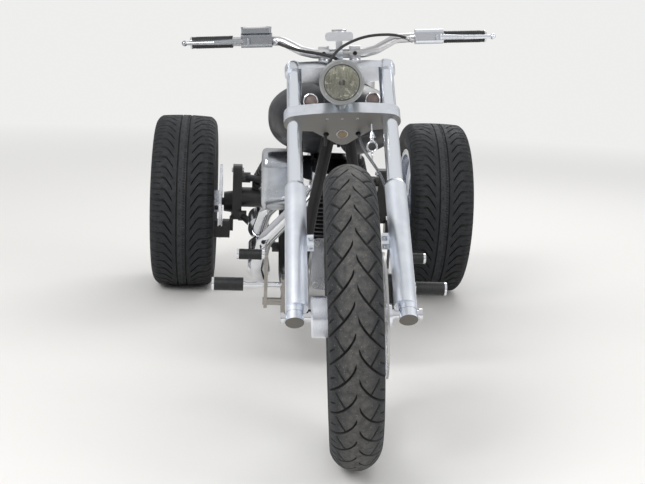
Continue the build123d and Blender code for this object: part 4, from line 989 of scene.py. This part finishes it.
# Painted reflections: the mirror's colour runs in upright streaks of darker and lighter grey-olive that stand in for
# the fluted glass's reflections, and its pale glints are painted highlights.
painted_reflection_streaks = spread(grain(mirror_tree, 0.0032, (1, 1, 0.12), 3), 0.38, 0.62)
glints = spread(grain(mirror_tree, 0.011, detail=2), 0.60, 0.68)
painted_streak_colours = between(painted_reflection_streaks, (0.27, 0.27, 0.235), (0.44, 0.44, 0.39))
feed(mirror_tree.nodes["Principled BSDF"], between(glints, painted_streak_colours, (0.74, 0.73, 0.66)))
SHADE_METAL = metal_finish("bulb_shade_finish", (0.16, 0.16, 0.15), 0.35, 0.01)
radii = np.concatenate([[0], np.linspace(1, GLASS_R, 60)])
glass_grid = np.concatenate([glass_face(radii, 7.0, 5.0), glass_face(radii[::-1], 6.0, 4.2, FLUTE_DEPTH)])
mirror_curve = [(3.3 + 2.6 * (r / MIRROR_R) ** 2, r) for r in np.linspace(MIRROR_R, 8, 24)]
mirror_profile = [(3.05, 0), (3.05, MIRROR_R)] + mirror_curve + [(3.2, 7), (3.2, 0)]
for name, grid, finish, slot in (
        ("headlamp_glass", (glass_grid, False, True), LAMP_GLASS, "chrome"),
        ("headlamp_mirror", lathe(mirror_profile, LAMP_PLACE, LAMP_AXIS, 96), MIRROR, "chrome"),
        ("headlamp_bulb_shade", lathe(BULB_SHADE, LAMP_PLACE, LAMP_AXIS, 40), SHADE_METAL, "chrome"),
        ("headlamp_gasket", lathe(GASKET, LAMP_PLACE, LAMP_AXIS, 96, True), RUBBER, "black_rubber")):
    make_piece(name, [grid], finish, "steering", caps=False)
print("lamp faces:", LAMP_AXIS.round(3))

# %% [markdown]
# The two front indicators have turned bodies. Each lens is tinted plastic moulded in rings, like ripples
# round a stone dropped in water: its height is a low dome plus a cosine of the distance from the middle.

# %% Indicator lenses
INDICATOR_AT = (82, -14, 658)
RIM = [(7.9, 16.1), (13.2, 16.6), (14.6, 17.0), (15.0, 18.4), (14.2, 19.9), (12.6, 20.25), (12.6, 19.0)]


def rippled(back, back_r, radius, base, dome, power, ripple, pitch, outer, count, tip):
    """A lens profile from its back edge over the rippled dome to the middle: height is base, plus dome times
    one less a power of the share of the radius, plus the ripple's cosine."""
    face = [(base + dome * (1 - (r / radius) ** power) + ripple * math.cos(2 * math.pi * r / pitch), r)
            for r in np.linspace(outer, 0.01, count)]
    return [(back, 0), (back, back_r)] + face + [(tip, 0)]


LENS_TINT, lens_tree, lens_shader = new_material("indicator_lens_finish", (0.20, 0.115, 0.10), 0.22)
lens_shader.inputs["Coat Weight"].default_value = 0.6
feed(lens_shader, between(spread(grain(lens_tree, 0.004), 0.35, 0.7),
                                     (0.15, 0.105, 0.095), (0.24, 0.185, 0.17)))
lens_profile = rippled(8.02, 16.2, 16, 9.6, 3.2, 2, 0.35, 2.9, 15.9, 60, 13.15)
lenses, rims = [], []
for side in SIDES:
    x, y, z = INDICATOR_AT
    spot, facing = aim(from_fork((side * x, y, z)) + (0, 0.004, 0.023), (0, -1, 0))
    lenses.append(lathe(lens_profile, spot, facing, 64))
    rims.append(lathe(RIM, spot, facing, 64, True))
make_piece("indicator_lenses", lenses, LENS_TINT, "steering", caps=False)
make_piece("indicator_rims", rims, CHROME, "steering", caps=False)
print("indicator lenses:", len(lenses))

# %% [markdown]
# Bolts show how a machine is put together, and an eye that passes over a bare casting rests on them. One
# function makes every head: rings of points at set heights, some round and some six-sided. A hexagon in polar
# form is the cosine of 30 degrees over the cosine of the angle to the middle of the nearest flat.

# %% Bolt heads
HEAD_SIDES = 24
RING_R = 51
ROUND = np.ones(HEAD_SIDES)
SIX = math.cos(math.pi / 6) / np.cos(circle(HEAD_SIDES) % (math.pi / 3) - math.pi / 6)
HEADS = {
    "socket": ((-0.1, 0, ROUND), (-0.1, 1, ROUND), (0.82, 1, ROUND), (1, 0.88, ROUND), (1, 0.6, SIX),
               (0.35, 0.56, SIX), (0.35, 0, ROUND)),
    "hex": ((-0.1, 0, ROUND), (-0.1, 1.22, ROUND), (0.12, 1.22, ROUND), (0.14, 1.1, SIX), (0.88, 1.1, SIX),
            (1, 0.9, ROUND), (1.02, 0, ROUND)),
    "domed": ((-0.1, 0, ROUND), (-0.1, 1.05, ROUND), (0.3, 1, ROUND), (0.75, 0.8, ROUND), (0.95, 0.5, ROUND),
              (0.95, 0.38, SIX), (0.5, 0.36, SIX), (0.5, 0, ROUND)),
}


def bolt_head(place, direction, radius, height, kind):
    """One head in metres; radius and height are in millimetres, and the direction is where it points."""
    outwards = spokes(direction, HEAD_SIDES)
    rows = [place + MM * (h * height * unit(direction) + (r * radius * shape)[:, None] * outwards)
            for h, r, shape in HEADS[kind]]
    return np.stack(rows), False, True


def bolts(name, spots, material=STEEL, body="chassis"):
    """One piece from many heads; each spot is (place, direction, radius, height, kind)."""
    make_piece(name, [bolt_head(*spot) for spot in spots], material, body, caps=False,
               keep_angle=math.radians(28))


def on_steering(straight, direction, *rest):
    """A spot of the straight front end, carried over to where it is parked."""
    return (*aim(straight, direction), *rest)


def on_chassis(place, *rest):
    """A spot whose place is given in millimetres."""
    return (MM * np.asarray(place, float), *rest)


bolts("headlamp_ring_screws", [
    on_steering(LAMP_AT + MM * np.array((RING_R * math.cos(a), -8, RING_R * math.sin(a))), (0, -1, 0),
                2.6, 1.3, "socket")
    for a in np.radians((90, 215, 325))], STEEL, "steering")
fork_bolts = [on_steering(from_fork((x, -14, 622)), -STEER_AXIS, 4.2, 2.4, "domed") for x in (-40, 0, 40)]
for side in SIDES:
    fork_bolts.append(on_steering(from_fork((side * 126, 0, 842)), STEER_AXIS, 12, 6, "hex"))
    fork_bolts += [on_steering(from_fork((side * 104, 26, z)), FORK_BACK, radius, 5, "socket")
                   for z, radius in ((820, 5.5), (630, 5), (648, 5))]
bolts("fork_bolts", fork_bolts, STEEL, "steering")
bolts("riser_bolts", [on_steering(from_axle((side * 43, 621.5, 938)), (0, -1, 0), 5.8, 4, "socket")
                      for side in SIDES], BLACK_STEEL, "steering")
print("bolt kinds:", sorted(HEADS))

# %% [markdown]
# The same heads close the covers of the engine, hold its mounting plates and the rear beam's carriers, and
# stand in a ring of five on each rear wheel. The steering stem ends in a turned plug with a raised lip.

# %% Stem end, engine screws, carrier bolts and wheel nuts
STEM_DISC = [(-0.5, 0), (-0.5, 13.6), (0.8, 13.6), (1.0, 12.2), (0.7, 11.8), (0.7, 0)]
STEM_LIP = [(-0.4, 13.0), (1.9, 13.2), (2.3, 14.2), (1.4, 15.6), (-0.4, 15.8)]
COVER_EDGE = ((-120, 335), (-135, 285), (-120, 232), (-60, 362), (-60, 206), (70, 366), (70, 198), (160, 362),
              (160, 200), (310, 330), (310, 232))
CARRIER_OUTER, CARRIER_INNER = 302, 266
NUT_RING, NUT_OUT = 0.050, 0.082
stem_end = aim(from_fork((0, 42, 620)), -STEER_AXIS)
make_piece("stem_plug", [lathe(STEM_DISC, *stem_end, 48)], BRONZE, "steering", caps=False)
make_piece("stem_lip", [lathe(STEM_LIP, *stem_end, 48, True)], STEEL, "steering", caps=False)

engine_bolts = [on_chassis((124, y, z), (1, 0, 0), 4.6, 4, "socket") for y, z in COVER_EDGE]
for y, z, radius, face, count, shift in ((240, 281, 58, 133, 5, 0.3), (30, 285, 27, 131, 2, 0.0)):
    engine_bolts += [on_chassis((face, y + radius * math.cos(a), z + radius * math.sin(a)), (1, 0, 0), 4, 3, "domed")
                     for a in shift + circle(count)]
bolts("primary_cover_screws", engine_bolts)
bolts("mount_plate_bolts", [on_chassis((side * 46, -303, 342 + up), (0, -1, 0), 7, 5, "hex")
                            for side in SIDES for up in (60, -60)])
beam_bolts = []
for side in SIDES:
    for y, z in ((915, 462), (967, 462), (915, 290), (967, 290)):
        beam_bolts.append(on_chassis((side * CARRIER_OUTER, y, z), (side, 0, 0), 6, 5, "socket"))
        beam_bolts.append(on_chassis((side * CARRIER_INNER, y, z), (-side, 0, 0), 7, 6, "hex"))
bolts("axle_carrier_bolts", beam_bolts)
for name, side in (("left", 1), ("right", -1)):
    bolts(f"rear_lug_nuts_{name}", [
        ((side * (WHEEL_X + NUT_OUT), REAR_AXLE_Y + NUT_RING * math.cos(a), REAR_AXLE_Z + NUT_RING * math.sin(a)),
         (side, 0, 0), 8, 9, "hex") for a in circle(5) + math.radians(36)], CHROME, f"rear_wheel_{name}")
print("screws on the engine and axle:", len(engine_bolts) + len(beam_bolts))

# %% [markdown]
# A grip is soft rubber over the bar's end. Its ribs are rings that let the hand feel where it is, and its
# inner end has a collar. The foot pegs and pedals wear the same rubber with finer rings. Real ribs catch the
# light and break the outline, where a bump in the shading alone would leave it straight.

# %% Grips and peg rubbers
GRIP_FROM, GRIP_TO = 297, 417
GRIP_R, GRIP_BORE = 15.9, 12.8
BAR_IN, BAR_OUT = (205, 688, 977), (412, 700, 976)
BAR_CAP = [(113.2, 0), (113.2, 12.5), (113.2, 17.0), (116, 17.0), (119, 14.5), (119.9, 9), (120, 0)]


def on_bar(x, side):
    """A point of the bar's outer run, found by its distance from the middle."""
    share = (x - BAR_IN[0]) / (BAR_OUT[0] - BAR_IN[0])
    y, z = (a + share * (b - a) for a, b in zip(BAR_IN[1:], BAR_OUT[1:]))
    return from_axle((side * x, y, z))


def ribbed(run, radius, height, pitch, bore):
    """A sleeve's closed profile: its ribs are the square root of the size of a sine, and it returns along
    the bore."""
    outer = radius + height * np.sqrt(np.abs(np.sin(math.pi * run / pitch)))
    return np.concatenate([np.stack([run, outer], -1), [(run[-1], bore), (0, bore)]])


run = np.linspace(0, GRIP_TO - GRIP_FROM - 6, 130)
grip_profile = ribbed(run, GRIP_R + 0.9 * (run < 9), 0.8 * ((run > 12) & (run < 104)), 5.4, GRIP_BORE)
grips, caps = [], []
for side in SIDES:
    inner = on_bar(GRIP_FROM, side)
    spot, outwards = aim(inner, on_bar(GRIP_TO, side) - inner)
    grips.append(lathe(grip_profile, spot, outwards, 40, True))
    caps.append(lathe(BAR_CAP, spot, outwards, 40))
grip_rubber = make_piece("grip_rubber", grips, RIBBED_RUBBER, "steering", caps=False)
make_piece("grip_end_caps", caps, CHROME, "steering", caps=False)
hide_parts("grips")
sleeves = []
for side in SIDES:
    for y, z, start, end, radius in ((PEG_AT, PEG_Z, 252.6, 337.4, 18.6), (PEDAL_AT, PEDAL_Z, 202.4, 267.2, 14.4)):
        profile = ribbed(np.linspace(0, end - start, 110), radius, 1.1, 4.7, radius - 4)
        profile[[0, 109], 1] = radius - 2
        sleeves.append(lathe(profile, (side * start * MM, y, z), (side, 0, 0), 36, True))
make_piece("peg_rubbers", sleeves, RIBBED_RUBBER, "chassis", caps=False)
print("grip faces:", len(grip_rubber.data.polygons), "peg sleeves:", len(sleeves))

# %% [markdown]
# The brake fluid sits in a small box on the bar. Its lid overhangs a little and is held by two screws. The lid
# is a rounded rectangle: a point of a superellipse of power 6, where the sum of the sixth powers is one.

# %% Reservoir lid
LID_HALF = np.array((41, 22))
LID_EDGE = ((-1, -4.2), (1.2, -4.2), (1.6, -3.6), (1.6, -0.6), (1.0, 0.3), (-4, 0.3), (-5, -0.1), (-6, -0.1))
lid_mid = (on_bar(186, -1) + on_bar(272, -1)) / 2 + MM * np.array((0, -14, 39))
corner = np.stack([np.cos(circle(72)), np.sin(circle(72))], -1)
corner = corner * (np.abs(corner) ** 6).sum(1, keepdims=True) ** (-1 / 6)
lid = np.stack([np.concatenate([corner * (LID_HALF + grow), np.full((72, 1), height)], 1)
                for grow, height in LID_EDGE])
make_piece("reservoir_lid", [(parked(lid_mid + MM * lid), False, True)], SATIN, "steering")
bolts("reservoir_screws", [on_steering(lid_mid + MM * np.array((x, 0, -0.2)), (0, 0, 1), 3.2, 1.4, "socket")
                           for x in (-30, 30)], STEEL, "steering")
print("lid rows:", len(lid))

# %% [markdown]
# The tank is pressed from sheet steel, so no edge on it is sharp. Its section is a superellipse, rounder on top
# and squarer below, whose width, underside and top change smoothly along its length. Both ends close like the
# end of an egg. A channel below clears the frame's top tube, and the front is pressed flat where the fork swings.

# %% Fuel tank
# Each section: its place along the trike, half width, underside and top, in millimetres
TANK_SECTIONS = ((-322, 104, 708, 756), (-290, 138, 684, 790), (-226, 171, 656, 836), (-120, 192, 638, 858),
                 (20, 178, 634, 842), (160, 122, 638, 792), (226, 76, 646, 756))
NOSE_REACH, TAIL_REACH = -14, 9
TOP_TUBE_Y, TOP_TUBE_Z, TUBE_CLEAR = (-300, -60, 200), (812, 735, 622), 29
CHANNEL_WIDTH = 38
SWING_CLEAR = 0.105
PRESS_SOFTNESS = 0.004


def end_cap(section, reach):
    """Sections that shrink to a point over a reach: the size follows a quarter circle."""
    quarter = np.linspace(0, math.pi / 2, 9)[1:]
    size = np.sqrt(np.maximum(1 - np.sin(quarter) ** 2, 0))
    middle = (section[2] + section[3]) / 2
    return np.stack([section[0] + reach * np.sin(quarter), section[1] * size,
                     middle + (section[2] - middle) * size, middle + (section[3] - middle) * size], -1)


sections = through(TANK_SECTIONS, 10)
sections = np.concatenate([end_cap(sections[0], NOSE_REACH)[::-1], sections, end_cap(sections[-1], TAIL_REACH)])
y, half, low, high = sections.T[..., None]
wide = low + 0.52 * (high - low)
across, upwards = np.cos(circle(200)), np.sin(circle(200))
power = np.where(upwards > 0, 2 / 2.15, 2 / 2.6)
x = half * np.sign(across) * np.abs(across) ** power
z = wide + np.where(upwards > 0, high - wide, wide - low) * np.sign(upwards) * np.abs(upwards) ** power
channel_top = np.minimum(np.interp(y, TOP_TUBE_Y, TOP_TUBE_Z) + TUBE_CLEAR, high - 12)
channel = np.exp(-(np.abs(x) / CHANNEL_WIDTH) ** 6) * (upwards < 0)
z = z + channel * np.maximum(channel_top - z, 0)
tank = np.stack([x, y + 0 * x, z], -1) * MM
behind = (tank - AXLE) @ FORK_BACK - SWING_CLEAR
push = 0.5 * (np.sqrt(behind ** 2 + PRESS_SOFTNESS ** 2) - behind)
tank = tank + push[..., None] * FORK_BACK
tank_shell = make_piece("tank_shell", [(tank, False, True)], TANK_PAINT, "chassis", caps=False,
                        keep_angle=math.radians(50))
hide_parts("fuel_tank")
tank_low, tank_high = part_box("fuel_tank")
print("tank, solid and shell in metres:", [round(v, 3) for v in tank_high - tank_low],
      np.ptp(tank, axis=(0, 1)).round(3))

# %% [markdown]
# Small instruments: the gauge has a dark dial under a bright bezel, with plain ticks, and the round tail lamp
# has a red lens moulded in rings. Both are turned forms, so a profile swept round an axis makes them.

# %% Gauge dial and tail lamp lens
BEZEL = [(-3, 20.4), (0.6, 20.4), (1.2, 19.2), (0.9, 17.6), (0.2, 17.2), (-0.5, 18.5), (-3, 19)]
DIAL = [(-0.3, 0), (-0.3, 17.8), (0.15, 17.4), (0.15, 0)]
LONG_TICK, SHORT_TICK = (12.2, 3.6), (13.6, 2.2)
TAIL_AT = (0, 0.660, 0.590)
DIAL_PAINT = paint_finish("dial_face", (0.02, 0.02, 0.022), 0.3, 0.8, dusty=0.04)
TICK_PAINT = new_material("dial_ticks", (0.75, 0.75, 0.72), 0.4)[0]
dial_place, dial_up = aim(from_axle((0, 628, 1002)), (0, 0, 1))
make_piece("gauge_bezel", [lathe(BEZEL, dial_place, dial_up, 56, True)], CHROME, "steering", caps=False)
make_piece("gauge_dial", [lathe(DIAL, dial_place, dial_up, 56)], DIAL_PAINT, "steering", caps=False)
flat = frame_of(dial_up)
ticks = []
for k, a in enumerate(np.radians(np.arange(-120, 121, 20))):
    out = math.cos(a) * flat[1] + math.sin(a) * flat[0]
    near, length = SHORT_TICK if k % 2 else LONG_TICK
    corners = np.array([dial_place + MM * (out * (near + u * length) + 0.35 * v * np.cross(dial_up, out))
                        for u, v in ((0, -1), (0, 1), (1, 1), (1, -1))])
    ticks.append((np.stack([corners + 0.1 * MM * dial_up, corners + 0.3 * MM * dial_up]), False, True))
make_piece("gauge_ticks", ticks, TICK_PAINT, "steering")

TAIL_RED = paint_finish("tail_lens_finish", (0.34, 0.012, 0.010), 0.16, 0.8, dusty=0.05)
tail_profile = rippled(10.02, 32, 32, 10.6, 2.2, 4, 0.45, 4.2, 31.5, 90, 13.0)
tail_lens = make_piece("tail_lamp_lens", [lathe(tail_profile, TAIL_AT, (0, 1, 0), 64)], TAIL_RED, "chassis",
                       caps=False)
print("tail lens faces:", len(tail_lens.data.polygons))

# %% [markdown]
# Each rear damper is bolted to a bent strut that rises from the corner of the frame's rear rail. The strut is a
# round tube along a smooth line through three points, and a cross pin with a bolt head at each end goes through
# the damper's eye.

# %% Damper struts
BOSS = [(0, 0), (0, 17), (14, 17), (14, 0)]
STRUT_R, PIN_LENGTH = 11, 41
struts, pins = [], []
for side in SIDES:
    line = through(((side * 112, 630, 462), (side * 119, 656, 512), (side * 131, 660, 562)), 12)
    struts.append((tube(line * MM, STRUT_R * MM, 20), False, True))
    eye = np.array((side * 122, 660, 560))
    struts.append(lathe(BOSS, eye * MM, (side, 0, 0), 32))
    pins.append(on_chassis(eye, (-side, 0, 0), 9, 7, "hex"))
    pins.append(on_chassis(eye + (side * PIN_LENGTH, 0, 0), (side, 0, 0), 9, 7, "hex"))
make_piece("shock_mounts", struts, FRAME_PAINT, "chassis")
bolts("shock_pins", pins)
print("damper struts:", len(struts) // 2)

# %% [markdown]
# The saddle is foam on a stiff pan, under black leather pulled tight. Seen from above, its edge is one smooth
# outline, narrow at the nose and wide behind. Every row of the surface is that outline, drawn in towards the
# middle and lifted: the sides swell below a piped seam, and the top is dished and rises at the back.

# %% Saddle
SADDLE_EDGE = ((0, 238), (48, 244), (74, 275), (86, 318), (118, 345), (143, 385), (149, 430), (146, 490),
               (122, 540), (72, 564), (0, 568))
# Each row of the side: how far out it lies as a share of the outline, and its height
SADDLE_SIDE = ((0.0, 641), (0.5, 641), (0.9, 641), (0.955, 642.5), (0.975, 648), (0.99, 656), (0.996, 664),
               (0.988, 671), (0.972, 674.5), (0.962, 675))
SADDLE_RIM, SADDLE_TOP = 676, 699
PIPING_R, THREAD_R = 2.3, 0.55
STITCH_GAP, STITCH_POINTS = 8, 5
half_edge = through(SADDLE_EDGE, 8)
outline = np.concatenate([half_edge, half_edge[-2:0:-1] * (-1, 1)])
spine = np.stack([0 * outline[:, 0], np.clip(outline[:, 1], 300, 500)], -1)


def saddle_row(share, height=None):
    """The outline drawn in towards the middle line: share 1 is the edge, 0 the line itself. Without a height
    it lies on the top: a low crown that falls off near the edge, with a dish for the rider, a raised back and
    a groove along the middle."""
    x, y = (spine + (outline - spine) * share).T
    if height is None:
        crown = 20 * (1 - share ** 3.2)
        dish = -13 * np.exp(-((y - 425) / 80) ** 2 - (x / 95) ** 2)
        back = 9 * soft_step(y, 470, 560) * (1 - 0.4 * share ** 2)
        furrow = -3.0 * np.exp(-(x / 7) ** 2) * window(y, 300, 350, 520, 550)
        height = np.minimum(SADDLE_RIM + crown + dish + back + furrow, SADDLE_TOP)
    return np.stack([x, y, height + 0 * x], -1)


top_shares = np.concatenate([[0.955, 0.945, 0.93], np.linspace(0.9, 0.02, 34), [0.0]])
saddle_rows = [saddle_row(*row) for row in SADDLE_SIDE] + [saddle_row(share) for share in top_shares]
saddle = make_piece("saddle_leather", [(np.stack(saddle_rows) * MM, False, True)], LEATHER, "chassis",
                    caps=False)
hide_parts("saddle")
seam = saddle_row(0.962, SADDLE_RIM + 0.2) * MM
piping = tube(np.concatenate([seam, seam[:2]]), PIPING_R * MM, 12)[:-2]
make_piece("saddle_piping", [(piping, True, True)], LEATHER, "chassis", caps=False)
THREAD = paint_finish("saddle_thread", (0.05, 0.048, 0.045), 0.7)
edge_line = saddle_row(0.925)
holes = evenly(np.concatenate([edge_line, edge_line[:1]]), 1.0)[0]
lift = (0.7 * np.sin(np.linspace(0, math.pi, STITCH_POINTS)) - 0.2)[:, None] * (0, 0, 1)
stitches = [(tube((holes[k:k + STITCH_POINTS] + lift) * MM, THREAD_R * MM, 6), False, True)
            for k in range(0, len(holes) - STITCH_GAP, STITCH_GAP)]
make_piece("saddle_stitches", stitches, THREAD, "chassis")
print("saddle faces:", len(saddle.data.polygons), "stitches:", len(stitches))
